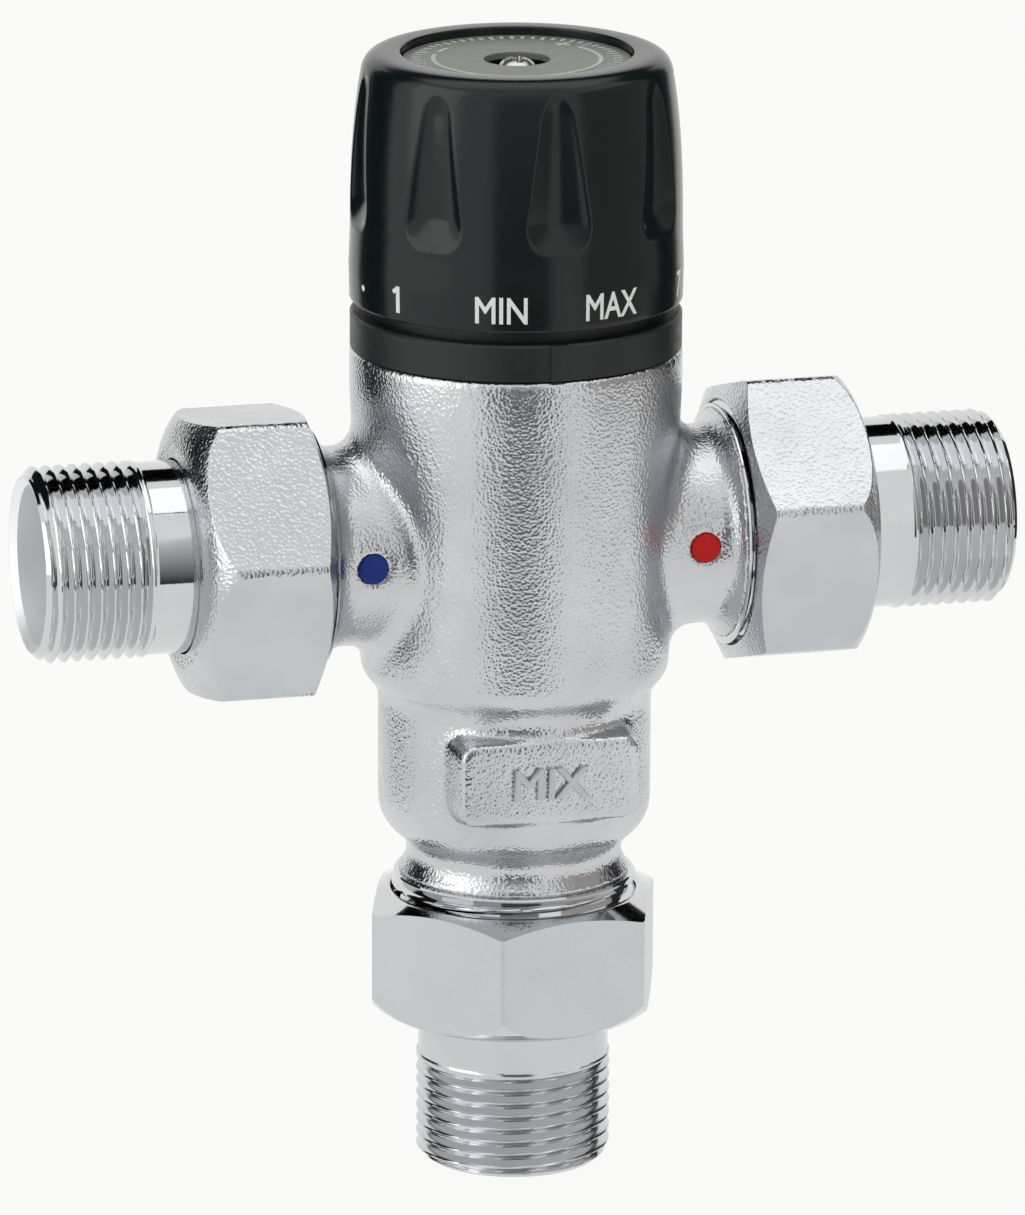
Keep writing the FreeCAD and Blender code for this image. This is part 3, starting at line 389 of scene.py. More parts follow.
# Blue and red enamel: the gloss is dulled a little, so the colour reads from every side.
marks = {"cold": enamel("blue enamel", ("#0d2c7c", "#12368c")),
         "hot": enamel("red enamel", ("#c20e0d", "#d01613"))}
for name, material in marks.items():
    low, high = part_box(name + "_mark")
    front = -low.y / MM
    bm = lathe(rounded([(0, -plug_depth), (plug_r, -plug_depth), (plug_r, -0.02, plug_rim), (0, 0.0)]), 64)
    bmesh.ops.rotate(bm, verts=bm.verts, matrix=Matrix.Rotation(math.pi / 2, 3, "X"))
    bmesh.ops.translate(bm, verts=bm.verts, vec=((low.x + high.x) / 2, -front * MM, inlet_z))
    add_piece(name + "_enamel", bm, "valve", [material], [name + "_mark"])


# ---- regulating parts ----
# Brass seats and adjusting nut turned from bar, a moulded white shutter with a rubber ring, and
# the wax element in its copper capsule. They sit inside the trunk and keep their plain shapes.
def dress(material, *nodes):
    """Gives a finish to CAD pieces whose shape is kept."""
    for node in nodes:
        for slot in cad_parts[node].material_slots:
            slot.material = material


def moulded(name, tints, rough, grain, depth, **values):
    """A moulded finish in plastic or rubber: an even colour, a fine skin and a soft gloss."""
    material, tree, shader = new_material(name, **values)
    blend_colours(tree, shader, noise(tree, grain * 6), *tints)
    tree.links.new(spread(tree, noise(tree, grain * 3), *rough), shader.inputs["Roughness"])
    relief(tree, shader, [(noise(tree, grain), depth)])
    return material


# Turned brass: warm yellow with a soft shine. Feed lines of 0.1 mm are too fine to show, and are
# drawn as a 0.25 mm grain.
turned_brass = metal("turned brass", ("#c2a063", "#d2b377"), (0.22, 0.34), [(4.0, 0.01), (0.25, 0.006)])
# Bare copper: a drawn capsule, reddish and duller than the brass, with a 3 mm wave from drawing.
bare_copper = metal("bare copper", ("#b07552", "#c48a66"), (0.28, 0.42), [(3.0, 0.02), (0.3, 0.008)])
# Bright steel: stainless wire and sheet, grey and clean. Its drawing marks are drawn 0.2 mm wide,
# coarser than they are.
bright_steel = metal("bright steel", ("#b9b9b9", "#cbcbcb"), (0.18, 0.30), [(3.0, 0.01), (0.2, 0.004)])
# White acetal: moulded, waxy and off-white, with the mould's spark grain at 0.4 mm.
white_acetal = moulded("white acetal", ("#dcdcd6", "#e4e4df"), (0.34, 0.46), 0.4, 0.008)
# Seal rubber: black nitrile with a dull sheen, and a 0.3 mm bloom on its skin.
seal_rubber = moulded("seal rubber", ("#161616", "#1d1d1d"), (0.45, 0.6), 0.3, 0.01)
dress(turned_brass, "hot_seat", "adjusting_nut", "overtravel_plunger")
dress(white_acetal, "shutter")
dress(seal_rubber, "shutter_oring")
dress(bare_copper, "thermostatic_element")
dress(bright_steel, "element_pin", "plunger_circlip")


wire_sides, steps_per_turn = 14, 40


def coil(mean_r, wire, low, high, turns):
    """A coil spring of round wire between two planes, in millimetres."""
    bm = bmesh.new()
    loop = bmesh.ops.create_circle(bm, segments=wire_sides, radius=wire / 2 * MM)["verts"]
    bmesh.ops.rotate(bm, verts=loop, matrix=Matrix.Rotation(math.pi / 2, 3, "Y"))
    bmesh.ops.translate(bm, verts=loop, vec=(0, -mean_r * MM, (low + wire / 2) * MM))
    steps = int(turns * steps_per_turn)
    rise = (high - low - wire) / steps * MM
    bmesh.ops.spin(bm, geom=bm.verts[:] + bm.edges[:], cent=(0, 0, 0), axis=(0, 0, 1), dvec=(0, 0, rise),
                   angle=2 * math.pi * turns, steps=steps)
    ends = [edge for edge in bm.edges if edge.is_boundary]
    bmesh.ops.holes_fill(bm, edges=ends, sides=0)
    return bm


def spring_in_place_of(node, wire, turns, wall_gap):
    """A round-wire spring that fills the place of a CAD spring standing along Z."""
    low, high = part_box(node)
    mean_r = (high.x - low.x) / 2 / MM - wire / 2 - wall_gap
    return coil(mean_r, wire, low.z / MM, high.z / MM, turns)


add_piece("return_coil", spring_in_place_of("return_spring", 1.4, 6.5, 0.1), "valve",
          [bright_steel], ["return_spring"])
add_piece("overtravel_coil", spring_in_place_of("overtravel_spring", 1.2, 3.5, 0.1), "adjuster",
          [bright_steel], ["overtravel_spring"])


# ---- headwork ----
# The brass bonnet screws into the trunk's mouth and carries the splined spindle, which a spring
# clip holds up and two rubber rings seal.
dress(turned_brass, "bonnet", "spindle")
dress(seal_rubber, "bonnet_oring", "spindle_oring_upper", "spindle_oring_lower")
dress(bright_steel, "spindle_circlip")


# ---- indicator ring ----
# A fixed ring moulded in the knob's plastic. It covers the bonnet's flange, and its front rib is
# the pointer that the dial is read against.
# Ring plastic: the knob's nylon with a deeper mould grain, 0.35 mm wide, so it is duller and a
# little greyer.
ring_plastic = moulded("ring plastic", ("#161b1b", "#1c2222"), (0.34, 0.44), 0.35, 0.01,
                       Specular_IOR_Level=0.4)
dress(ring_plastic, "indicator_ring")


# ---- knob ----
# A hollow cap moulded in black plastic, with eight scooped grips, a dial band round its foot and
# a shallow recess for the disc in its crown. It fits the spindle's spline.
knob_low, knob_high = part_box("knob")
foot_z = knob_low.z / MM
flutes = 8
flute_top, flute_deep, flute_end = 31.2, 14.2, 10.2  # heights above the knob's foot
flute_top_round = 3.0
flute_top_size = (3.6, 0.5)  # width and depth
flute_deep_size = (8.6, 1.65)
flute_edge = 0.12  # how far a scoop's rim is rounded over
dial_low_r, dial_r = 22.38, 22.47
dial_low, dial_high = 0.3, 4.5  # heights of the band's straight part
knob_segments = 560


def curve_through(start, middle, end, count):
    """Points on a smooth bend from start through middle, without the end itself."""
    a, m, b = Vector(start), Vector(middle), Vector(end)
    pull = m * 2 - (a + b) / 2
    return [a * (1 - t) ** 2 + pull * 2 * t * (1 - t) + b * t * t for t in (i / count for i in range(count))]


def flute_radius(skin, height, offset):
    """The radius that a scoop leaves, at a height above the foot and an angle from its middle."""
    share = min(1.0, max(0.0, (height - flute_deep) / (flute_top - flute_deep)))
    width = flute_deep_size[0] + (flute_top_size[0] - flute_deep_size[0]) * share
    depth = flute_deep_size[1] + (flute_top_size[1] - flute_deep_size[1]) * share
    down = (flute_deep - height) / (flute_deep - flute_end)
    up_end = (height - flute_top + flute_top_round) / flute_top_round
    if down >= 1 or up_end >= 1:
        return skin
    if down > 0:
        width *= (1 - down ** 2.6) ** (1 / 2.6)
        depth *= 1 - down ** 1.15
    if up_end > 0:
        width *= math.sqrt(1 - up_end ** 2)
        depth *= 1 - up_end ** 2
    half = width / 2
    below = depth - (skin - math.sqrt(skin * skin - half * half))
    if below < 0.02:
        return skin
    circle = (half * half / below + below) / 2
    centre = skin - depth + circle
    side = centre * math.sin(offset)
    if abs(side) >= circle:
        return skin
    cut = centre * math.cos(offset) - math.sqrt(circle * circle - side * side)
    near = max(flute_edge - abs(cut - skin), 0.0) / flute_edge
    return min(cut, skin) - near * near * flute_edge / 4


def knob_shape():
    """The knob's half section, from the dial up over the crown and back down inside, then its scoops."""
    z = foot_z
    outside = [(20.65, z), (22.1, z)]
    outside += curve_through((22.1, z), (22.3, z + 0.06), (dial_low_r, z + dial_low), 4)
    outside += along((dial_low_r, z + dial_low), (dial_r, z + dial_high), 8)
    outside += along((dial_r, z + dial_high), (22.28, z + 9.6), 6)
    outside += curve_through((22.28, z + 9.6), (21.98, z + 21.0), (20.93, z + 30.4), 62)
    outside += curve_through((20.93, z + 30.4), (20.05, z + 32.6), (18.0, z + 33.38), 12)
    outside += rounded([(18.0, z + 33.38), (15.6, z + 33.38, 0.25), (15.6, z + 31.4), (4.4, z + 31.4),
                        (4.4, z + 28.6), (2.25, z + 28.6), (2.25, z + 26.8), (4.15, z + 26.8),
                        (4.15, z + 17.4), (7.2, z + 17.4), (7.2, z + 28.8), (17.95, z + 28.8),
                        (19.9, z + 4.8), (20.65, z + 4.2)])
    bm = lathe(outside[1:], knob_segments)
    for vert in bm.verts:
        height = vert.co.z / MM - z
        radius = math.hypot(vert.co.x, vert.co.y) / MM
        inner_skin = max(17.9 + 0.01 * height, 20.0 - max(0, height - 30) * 0.7)
        if height < flute_end or radius < inner_skin:
            continue
        bearing = math.atan2(vert.co.x, -vert.co.y)
        step = 2 * math.pi / flutes
        offset = bearing - round(bearing / step) * step
        share = flute_radius(radius, height, offset) / radius
        vert.co.x *= share
        vert.co.y *= share
    return bm


# Black plastic: glass-smooth moulded nylon, near black with a cool cast, and a broad soft highlight.
# Its flow waves are drawn 0.3 mm wide and very shallow, which softens the highlight's edge.
black_plastic = moulded("black plastic", ("#0a1214", "#0e1719"), (0.17, 0.22), 0.3, 0.0012,
                        Specular_IOR_Level=0.38)
add_piece("knob_cap", knob_shape(), "knob_group", [black_plastic], ["knob"], weighted=False)


# ---- dial figures ----
# Figures, end marks and half-way dots, pad printed in pale ink on the dial band at the knob's foot.
# Pale ink: matt and opaque, nearly white. The pad's 0.2 mm dapple is coarser than the real one.
pale_ink = moulded("pale ink", ("#e8eae8", "#f1f2f0"), (0.45, 0.55), 0.2, 0.002)
ink_thickness = 0.06
figure_z = foot_z + 3.05
figure_height, figure_width = 3.6, 1.95
dial = {"MIN": -20, "1": -60, "2": -100, "3": -140, "4": 180, "5": 140, "6": 100, "7": 60, "MAX": 20}
word_widths = {"MIN": 7.0, "MAX": 8.3}
dot_r = 0.42
dot_bearings = (-80, -120, -160, 160, 120, 80)


def dial_radius(height):
    """The dial band's radius at a height."""
    share = (height - foot_z - dial_low) / (dial_high - dial_low)
    return dial_low_r + (dial_r - dial_low_r) * share


def wrap_on_dial(bm, bearing):
    """Wraps a flat print round the dial band, its middle at a bearing from the front."""
    low = min(vert.co.x for vert in bm.verts)
    high = max(vert.co.x for vert in bm.verts)
    cuts = max(2, int((high - low) / (0.4 * MM)))
    for i in range(1, cuts):
        at = low + (high - low) * i / cuts
        bmesh.ops.bisect_plane(bm, geom=bm.verts[:] + bm.edges[:] + bm.faces[:], dist=1e-8,
                               plane_co=(at, 0, 0), plane_no=(1, 0, 0))
    for vert in bm.verts:
        height = figure_z + vert.co.y / MM
        radius = (dial_radius(height) - 0.01) * MM + vert.co.z
        turn = math.radians(bearing) + vert.co.x / (dial_r * MM)
        vert.co = (math.sin(turn) * radius, -math.cos(turn) * radius, height * MM)
    return bm


def drawn_one():
    """The figure 1: an upright stroke with a short flag, which the standard font lacks."""
    upright = (0.66, figure_height, 0, (0.3, 0))  # width, height, turn in degrees, middle
    flag = (1.15, 0.55, 38, (-0.14, 1.27))
    bm = bmesh.new()
    for width, height, turn, place in (upright, flag):
        stroke = bmesh.ops.create_grid(bm, x_segments=1, y_segments=1, size=0.5 * MM)["verts"]
        bmesh.ops.scale(bm, verts=stroke, vec=(width, height, 1))
        bmesh.ops.rotate(bm, verts=stroke, matrix=Matrix.Rotation(math.radians(turn), 3, "Z"))
        bmesh.ops.translate(bm, verts=stroke, vec=(place[0] * MM, place[1] * MM, ink_thickness / 2 * MM))
    bmesh.ops.solidify(bm, geom=bm.faces[:], thickness=ink_thickness * MM)
    return bm


for words, bearing in dial.items():
    if words == "1":
        bm = drawn_one()
    else:
        width = word_widths.get(words, figure_width)
        bm = flat_letters(words, width, figure_height, ink_thickness, edge=0.014)
    add_piece("dial_" + words, wrap_on_dial(bm, bearing), "knob_group", [pale_ink])
for bearing in dot_bearings:
    bm = lathe([(0, -ink_thickness / 2), (dot_r, -ink_thickness / 2), (dot_r, ink_thickness / 2),
                (0, ink_thickness / 2)], 24)
    name = f"dial_dot_{bearing % 360}"
    add_piece(name, wrap_on_dial(bm, bearing), "knob_group", [pale_ink])


# ---- crown disc ----
# A thin moulded grey disc laid in the crown's recess. Its print shows which way the knob turns
# for warmer and cooler water, inside a ring of fine ticks.
disc_low, disc_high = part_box("knob_disc")
disc_top = disc_high.z / MM
disc_hole_r, disc_r = 4.42, 15.48
disc_face, disc_back = disc_top - 0.02, disc_top - 0.9
print_top, print_thickness = disc_top + 0.03, 0.05
turn_arc = (10.9, 11.5, -118, 118)  # inner and outer radius, first and last bearing
tick_count, tick_outer_r, tick_half_width = 60, 14.1, 1.1  # the half width in degrees
tick_inner_r, fifth_tick_inner_r = 12.9, 12.5
sign_r, sign_bearing, sign_size, bar_height = 11.2, 132, 2.4, 0.6
# Grey plastic: the same moulding in a warm mid grey, matt enough that the print reads on it.
grey_plastic = moulded("grey plastic", ("#6a6e68", "#757970"), (0.34, 0.42), 0.3, 0.006)
# Grey ink: a paler grey than the disc, matt, so the print stays quiet.
grey_ink = moulded("grey ink", ("#b4b8b2", "#c2c5bf"), (0.45, 0.55), 0.2, 0.002)
bm = lathe(rounded([(disc_hole_r, disc_back), (disc_r, disc_back), (disc_r, disc_face, 0.25),
                    (disc_hole_r, disc_face, 0.15)]), 160)
add_piece("crown_disc", bm, "knob_group", [grey_plastic], ["knob_disc"])


def ring_print(inner, outer, start, end):
    """A stretch of a printed ring on the disc, between two bearings from the front."""
    bm = bmesh.new()
    ends = [bm.verts.new((0, -radius * MM, print_top * MM)) for radius in (inner, outer)]
    edge = bm.edges.new(ends)
    bmesh.ops.rotate(bm, verts=ends, matrix=Matrix.Rotation(math.radians(start), 3, "Z"))
    bmesh.ops.spin(bm, geom=ends + [edge], cent=(0, 0, 0), axis=(0, 0, 1), angle=math.radians(end - start),
                   steps=max(1, int((end - start) / 3)))
    bmesh.ops.solidify(bm, geom=bm.faces[:], thickness=print_thickness * MM)
    return bm


def on_disc(bm, radius, bearing):
    """Lays a flat print on the disc at a radius and a bearing, its foot towards the middle."""
    bmesh.ops.translate(bm, verts=bm.verts, vec=(0, -radius * MM, disc_top * MM))
    bmesh.ops.rotate(bm, verts=bm.verts, matrix=Matrix.Rotation(math.radians(bearing), 3, "Z"))
    return bm


def join(target, other):
    """Adds one mesh to another."""
    holder = bpy.data.meshes.new("joined")
    other.to_mesh(holder)
    other.free()
    target.from_mesh(holder)
    bpy.data.meshes.remove(holder)


prints = ring_print(*turn_arc)
for i in range(tick_count):
    inner = tick_inner_r if i % 5 else fifth_tick_inner_r
    middle = i * 360 / tick_count
    join(prints, ring_print(inner, tick_outer_r, middle - tick_half_width, middle + tick_half_width))
for sign, height, bearing in (("+", sign_size, sign_bearing), ("-", bar_height, -sign_bearing)):
    join(prints, on_disc(flat_letters(sign, sign_size, height, 0.1, edge=0.02), sign_r, bearing))
add_piece("disc_print", prints, "knob_group", [grey_ink], weighted=False)


# ---- crown screw ----
# A plated steel screw with a domed head and a cross recess, which holds the knob on its spindle.
screw_low, screw_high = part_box("knob_screw")
shank_r, shank_chamfer = 2.0, 0.4
head_r = screw_high.x / MM
head_low = screw_high.z / MM - 2.4
head_rim = head_low + 1.0
head_top = disc_top + 0.25
cross_reach, cross_width, cross_depth = 1.7, 0.4, 0.9
shank_low = screw_low.z / MM
section = [(0, shank_low), (shank_r - shank_chamfer, shank_low), (shank_r, shank_low + shank_chamfer),
           (shank_r, head_low), (head_r, head_low), (head_r, head_rim)]
section += curve_through((head_r, head_rim), (head_r * 0.72, head_top - 0.75), (0, head_top), 26)
bm = lathe(section + [(0, head_top)], 96)
for vert in bm.verts:
    across_x, across_y = sorted((abs(vert.co.x) / MM, abs(vert.co.y) / MM))
    if vert.co.z / MM > head_rim + 0.2 and across_x < cross_width and across_y < cross_reach:
        vert.co.z -= cross_depth * MM
add_piece("crown_screw", bm, "knob_group", [bright_steel], ["knob_screw"])


# ---- check valves and strainers ----
# Each inlet spigot holds a moulded check valve with a light spring and a rubber ring, and a
# slotted steel strainer lies against the tailpiece.
check_coil_r, check_wire, check_turns = 3.7, 0.7, 4.5
for name, side in (("cold", -1), ("hot", 1)):
    dress(white_acetal, name + "_check_housing", name + "_check_poppet")
    dress(seal_rubber, name + "_check_oring")
    dress(bright_steel, name + "_strainer")
    low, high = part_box(name + "_check_spring")
    length = (high.x - low.x) / MM
    far = min(abs(low.x), abs(high.x))
    foot = tail_end - far / MM
    bm = to_inlet(coil(check_coil_r, check_wire, foot - length, foot, check_turns), side)
    spring = add_piece(name + "_check_coil", bm, "valve", [bright_steel], [name + "_check_spring"])
    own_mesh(spring)


# ---- gaskets ----
# Flat rings of green fibre, nipped between each tailpiece and its spigot.
# Green fibre: pressed sheet, matt and dry, with fibres bundled into a 0.15 mm felt.
green_fibre = moulded("green fibre", ("#2c4a38", "#3a5a46"), (0.7, 0.85), 0.15, 0.02)
dress(green_fibre, "outlet_gasket", "cold_gasket", "hot_gasket")


# ---- tailpieces ----
# Brass tails with a G 3/4 pipe thread, fourteen turns to the inch, a plain band and a loose
# collar behind the nut. Turned from bar and polished before plating.
tail_pitch = 25.4 / 14
tail_crest_r, tail_root_r = 13.2205, 12.06
thread_length = 14.8
tail_run_in, tail_run_out = 1.3, 1.4
band_r = 12.95
collar_r, collar_low, collar_high = 14.93, 23.3, 25.5
bore_r, bore_mouth_r = 10.8, 11.7


def tailpiece():
    """A tail along Z, mouth at zero, with its bore's faces on the second finish."""
    rows = int(thread_length / tail_pitch * thread_rows)
    outside = [(bore_mouth_r, 0.0), (11.95, 0.0)]
    outside += along((tail_crest_r, 0.05), (tail_crest_r, thread_length), rows)
    rest = rounded([(band_r, thread_length + 0.3), (band_r, collar_low), (collar_r, collar_low, 0.15),
                    (collar_r, collar_high, 0.15), (bore_r, collar_high), (bore_r, 0.9)])
    bm = lathe(outside + rest, 144)
    cut_thread(bm, tail_pitch, tail_root_r, tail_crest_r, 0.0, thread_length, tail_run_in, tail_run_out)
    for face in bm.faces:
        middle = face.calc_center_median()
        in_bore = math.hypot(middle.x, middle.y) < (bore_mouth_r - 0.1) * MM
        if in_bore and middle.z < (collar_high - 0.1) * MM:
            face.material_index = 1
    return bm


# Bored chrome: the bore is plated but not polished, so it scatters light instead of mirroring the dark
# behind it.
# Its tint is a painted brightness, near white and paler than the other chrome, so the bore reads pale and
# even, as if well lit deep inside. Boring marks are too fine to show and are drawn 0.3 mm wide.
bore_chrome_painted_bright = metal("bore chrome painted bright", ("#f0f2f5", "#f4f5f8"), (0.55, 0.62), [(3.0, 0.01), (0.3, 0.004)])
# Brushed chrome: polished less than the inlets' tails, so its bands are softer. The strokes are
# drawn 0.35 mm wide, coarser than they are.
brushed_chrome = metal("brushed chrome", ("#c6c8cb", "#cdcfd2"), (0.15, 0.2), [(0.35, 0.002)])
# Every tail's bore takes the chrome whose near-white tint is painted light.
add_piece("outlet_tail", tailpiece(), "valve", [brushed_chrome, bore_chrome_painted_bright],
          ["outlet_tailpiece"])
for name, side in (("cold", -1), ("hot", 1)):
    add_piece(name + "_tail", to_inlet(tailpiece(), side), "valve",
              [polished_chrome, bore_chrome_painted_bright], [name + "_tailpiece"])


# ---- union nuts ----
# Forged brass hexagon nuts, 37 mm across flats, that draw each tailpiece to its spigot. The inlets'
# keep the forging's grain under the chrome, and the outlet's has ground flats and bright turned ends.
nut_flat = 18.5  # from the axis to a flat
nut_turned_r = 21.5
nut_outer_z, nut_inner_z = 20.3, 38.1
nut_shoulder_z = 23.3  # where it bears on the tail's collar
nut_bore_r, nut_hole_r = 16.67, 13.14
corner_leans = (30, 20, 10, 0, -10, -20)  # degrees from a corner, for the planes that round it
edge_bevel, least_edge_angle = 0.2, 0.08
# Grained chrome: plate over a flat that keeps the forging's skin, so it glints in fine specks. The
# pits are finer than the body's, and are likewise drawn coarser than they are, 0.5 mm wide.
grained_chrome = metal("grained chrome", ("#bdc0c4", "#c8cbce"), (0.15, 0.22), [(2.0, 0.008), (0.7, 0.02)],
                       pitted=(0.5, 0.07))


def union_nut(corner, corner_round):
    """A nut along Z, its first corner at a bearing, with corners rounded to a radius."""
    section = curve_through((14.9, nut_outer_z), (18.95, 21.77), (nut_turned_r, 25.0), 12)
    section += rounded([(nut_turned_r, 25.0), (nut_turned_r, 36.12), (17.4, nut_inner_z, 0.3),
                        (16.85, nut_inner_z, 0.1), (nut_bore_r, 37.9), (nut_bore_r, nut_shoulder_z),
                        (nut_hole_r, nut_shoulder_z), (nut_hole_r, nut_outer_z, 0.3)])
    bm = lathe(section, 120)
    for i in range(6):
        for lean in corner_leans:
            turn = math.radians(corner + 60 * i + lean)
            normal = Vector((math.sin(turn), -math.cos(turn), 0))
            centre = (nut_flat - corner_round) / math.cos(math.pi / 6)
            reach = centre * math.cos(math.radians(lean)) + corner_round
            bmesh.ops.bisect_plane(bm, geom=bm.verts[:] + bm.edges[:] + bm.faces[:], dist=1e-7,
                                   plane_co=normal * reach * MM, plane_no=normal, clear_outer=True)
            rim = [edge for edge in bm.edges if edge.is_boundary]
            for face in bmesh.ops.holes_fill(bm, edges=rim, sides=0)["faces"]:
                face.material_index = 1
    bmesh.ops.recalc_face_normals(bm, faces=bm.faces)
    edges = [edge for edge in bm.edges if len({face.material_index for face in edge.link_faces}) == 2
             and edge.calc_face_angle(0.0) > least_edge_angle]
    bmesh.ops.bevel(bm, geom=edges, offset=edge_bevel * MM, offset_type="OFFSET", segments=2,
                    profile=0.5, affect="EDGES", clamp_overlap=True, material=-1)
    return bm


add_piece("outlet_nut_shell", union_nut(-18.9, 1.2), "outlet_nut",
          [polished_chrome, satin_chrome], ["outlet_union_nut"])
for name, side, corner in (("cold", -1, -6.5), ("hot", 1, 16.5)):
    add_piece(name + "_nut_shell", to_inlet(union_nut(corner, 1.8), side), name + "_nut",
              [grained_chrome, grained_chrome], [name + "_union_nut"])


# ---- studio ----
# A pale floor in a white room, two softboxes and a lamp above. Dark and grey cards stand outside
# the frame: bright metal shows them as the bands that give it its shape.
room_level = 0.62  # how bright the room is as a light, where one is white
floor_glow = 0.93  # how much of the floor's look is its own white
world = bpy.data.worlds.new("white room")
bpy.context.scene.world = world
world.use_nodes = True
tree = world.node_tree
backdrop = tree.nodes["Background"]
backdrop.inputs["Color"].default_value = paint("#fefefc")


def seen_directly(tree):
    """One for what the camera sees itself, in a reflection or through glass, and nought for light."""
    path = add_node(tree, "ShaderNodeLightPath").outputs
    both = add_node(tree, "ShaderNodeMath", None, {0: path["Is Camera Ray"], 1: path["Is Glossy Ray"]},
                    operation="ADD").outputs[0]
    return add_node(tree, "ShaderNodeMath", None, {0: both, 1: path["Is Transmission Ray"]},
                    operation="ADD", use_clamp=True).outputs[0]


level = add_node(tree, "ShaderNodeMapRange", {"To Min": room_level, "To Max": 1.0},
                 {"Value": seen_directly(tree)})
tree.links.new(level.outputs["Result"], backdrop.inputs["Strength"])

# Floor paint: matt off-white, with a glow that only the eye and reflections see, so that the floor
# runs into the room and still keeps the valve's shadow.
floor_paint, tree, shader = new_material("floor paint", Base_Color=paint("#f0f0ee"), Roughness=0.9)
glow = add_node(tree, "ShaderNodeEmission", {"Color": paint("#fdfdfb")})
share = add_node(tree, "ShaderNodeMath", {1: floor_glow}, {0: seen_directly(tree)},
                 operation="MULTIPLY").outputs[0]
both = add_node(tree, "ShaderNodeMixShader", None, {0: share, 1: shader.outputs[0], 2: glow.outputs[0]})
tree.links.new(both.outputs[0], tree.nodes["Material Output"].inputs["Surface"])


def card_paint(name, bottom, top, high):
    """A card's shade, from its bottom edge at the floor to its top one at a height in metres."""
    material, tree, shader = new_material(name)
    place = add_node(tree, "ShaderNodeTexCoord").outputs["Object"]
    height = add_node(tree, "ShaderNodeSeparateXYZ", None, {0: place}).outputs["Z"]
    share = add_node(tree, "ShaderNodeMapRange", {"From Max": high}, {"Value": height}).outputs["Result"]
    shade = add_node(tree, "ShaderNodeEmission")
    mix = add_node(tree, "ShaderNodeMix", None, {"Factor": share}, data_type="RGBA")
    mix.inputs["A"].default_value = paint(bottom)
    mix.inputs["B"].default_value = paint(top)
    tree.links.new(mix.outputs["Result"], shade.inputs["Color"])
    tree.links.new(shade.outputs[0], tree.nodes["Material Output"].inputs["Surface"])
    return material


def add_backdrop(name, bm, material, unseen=False):
    """A floor or card of the studio, which is no part of the valve."""
    mesh = bpy.data.meshes.new(name)
    bm.to_mesh(mesh)
    bm.free()
    mesh.materials.append(material)
    backdrop = bpy.data.objects.new(name, mesh)
    bpy.context.scene.collection.objects.link(backdrop)
    if unseen:
        backdrop.visible_camera = False
        backdrop.visible_shadow = False
        backdrop.visible_diffuse = False


bm = bmesh.new()
bmesh.ops.create_circle(bm, cap_ends=True, segments=96, radius=6.0)
add_backdrop("floor", bm, floor_paint)

camera_bearing = -15.0  # lamps and cards are set out from where the camera stands
lamps_aim = Vector((0, 0, 0.08))


def softbox(name, bearing, elevation, distance, width, height, brightness):
    """A rectangular lamp that faces the valve. Its power follows from how bright its face is."""
    lamp = bpy.data.lights.new(name, "AREA")
    lamp.shape = "RECTANGLE"
    lamp.size = width
    lamp.size_y = height
    lamp.energy = brightness * width * height * math.pi
    holder = bpy.data.objects.new(name, lamp)
    turn, rise = math.radians(camera_bearing + bearing), math.radians(elevation)
    out = Vector((math.sin(turn) * math.cos(rise), -math.cos(turn) * math.cos(rise), math.sin(rise)))
    holder.location = lamps_aim + out * distance
    holder.rotation_euler = (-out).to_track_quat("-Z", "Y").to_euler()
    bpy.context.scene.collection.objects.link(holder)
    holder.visible_camera = False


def card(name, shades, bearing, distance, width, low, high):
    """An upright card round the valve, which shows only in what shines."""
    bm = bmesh.new()
    bmesh.ops.create_grid(bm, x_segments=1, y_segments=1, size=0.5)
    bmesh.ops.rotate(bm, verts=bm.verts, matrix=Matrix.Rotation(math.pi / 2, 3, "X"))
    bmesh.ops.scale(bm, verts=bm.verts, vec=(width, 1, high - low))
    bmesh.ops.translate(bm, verts=bm.verts, vec=(0, -distance, (low + high) / 2))
    turn = Matrix.Rotation(math.radians(camera_bearing + bearing), 3, "Z")
    bmesh.ops.rotate(bm, verts=bm.verts, matrix=turn)
    add_backdrop(name, bm, card_paint(name + " paint", *shades, high), unseen=True)


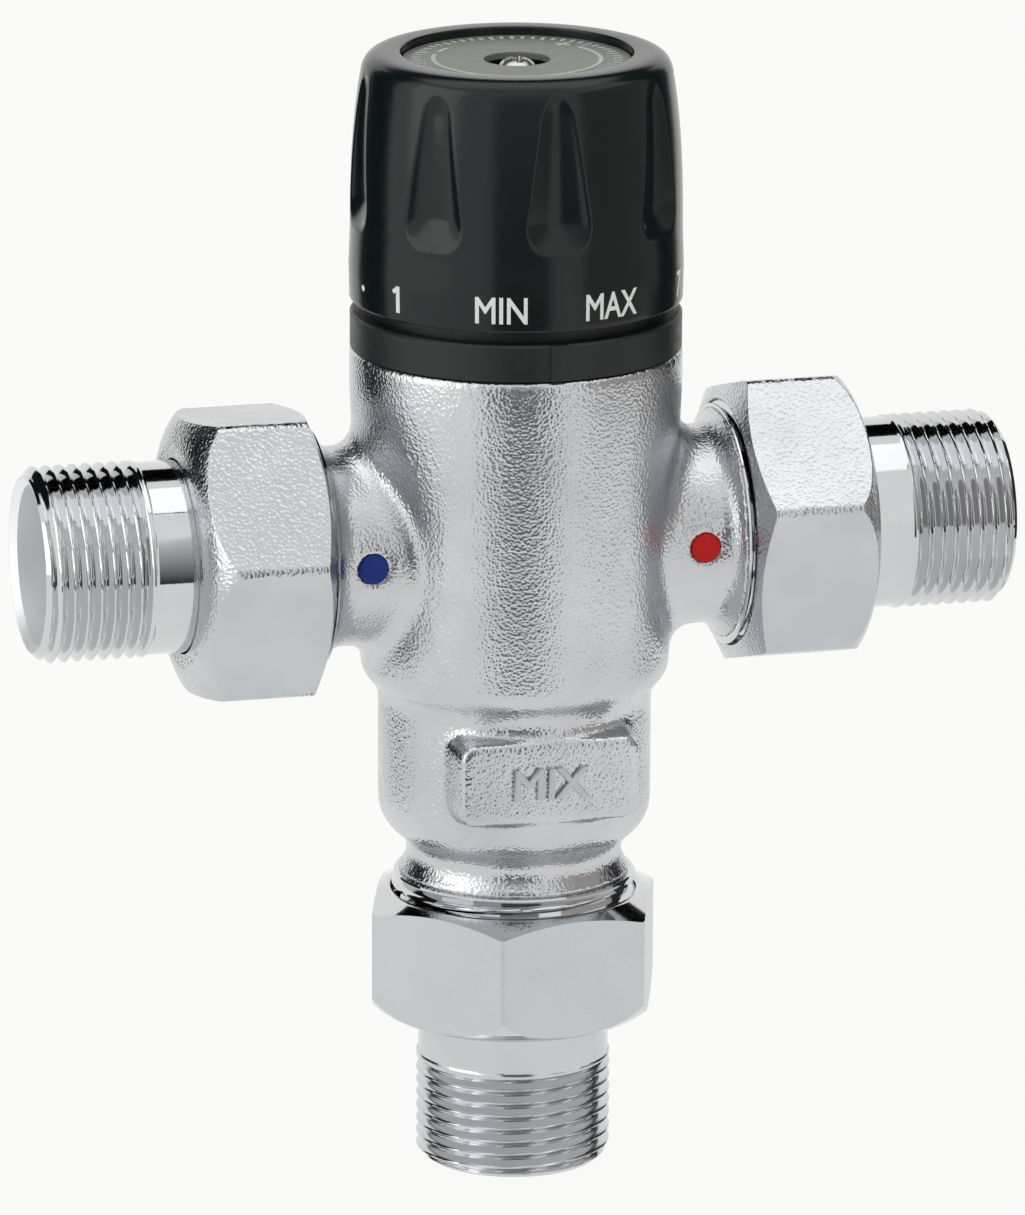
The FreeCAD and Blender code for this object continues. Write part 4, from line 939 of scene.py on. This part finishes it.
def flag_above(name, shade, height, left, right, front, back):
    """A level card over the valve, as a lamp's frame or the gap behind it shows in what shines."""
    bm = bmesh.new()
    bmesh.ops.create_grid(bm, x_segments=1, y_segments=1, size=0.5)
    bmesh.ops.scale(bm, verts=bm.verts, vec=(right - left, back - front, 1))
    bmesh.ops.translate(bm, verts=bm.verts, vec=((left + right) / 2, (front + back) / 2, height))
    add_backdrop(name, bm, card_paint(name + " paint", shade, shade, height), unseen=True)


softbox("lamp_above", 0, 88, 0.6, 0.8, 0.4, 0.6)
softbox("softbox_left", -62, 20, 0.8, 0.55, 0.7, 1.1)
softbox("softbox_right", 75, 28, 0.9, 0.5, 0.6, 0.3)
card("card_front", ("#1c1c1e", "#e4e4e6"), 4, 0.27, 0.186, 0.0, 0.30)
card("card_left", ("#101112", "#1c1d1e"), -116, 0.30, 0.20, 0.0, 0.5)
card("card_right", ("#2c2d2f", "#3c3d40"), 122, 0.30, 0.22, 0.0, 0.5)
card("card_by_knob", ("#a5a19d", "#b1ada9"), 78, 0.25, 0.32, 0.05, 0.30)
flag_above("card_behind", "#060606", 0.5, -0.25, 0.5, 0.206, 0.58)
flag_above("lamp_frame", "#161616", 0.5, -0.2, 0.13, -0.178, -0.166)


# ---- camera ----
# An ordinary long lens, a little above the valve and to its left.
camera_distance, camera_height = 1.333, 0.437
aim_height, aim_left = 0.0770, 0.30 * MM
camera_roll = 0.24  # degrees
view_height = 0.1642  # what the frame's long side takes in at the valve
sensor = 36.0
lens = bpy.data.cameras.new("camera")
camera = bpy.data.objects.new("camera", lens)
bpy.context.scene.collection.objects.link(camera)
bpy.context.scene.camera = camera
turn = math.radians(camera_bearing)
camera.location = (math.sin(turn) * camera_distance, -math.cos(turn) * camera_distance, camera_height)
to_right = Vector((math.cos(turn), math.sin(turn), 0))
aim = Vector((0, 0, aim_height)) - to_right * aim_left
line = aim - camera.location
facing = line.to_track_quat("-Z", "Y").to_matrix() @ Matrix.Rotation(math.radians(camera_roll), 3, "Z")
camera.rotation_euler = facing.to_euler()
lens.sensor_width = sensor
lens.lens = sensor * line.length / view_height
lens.clip_end = 20.0
bpy.context.scene.view_settings.view_transform = "Standard"
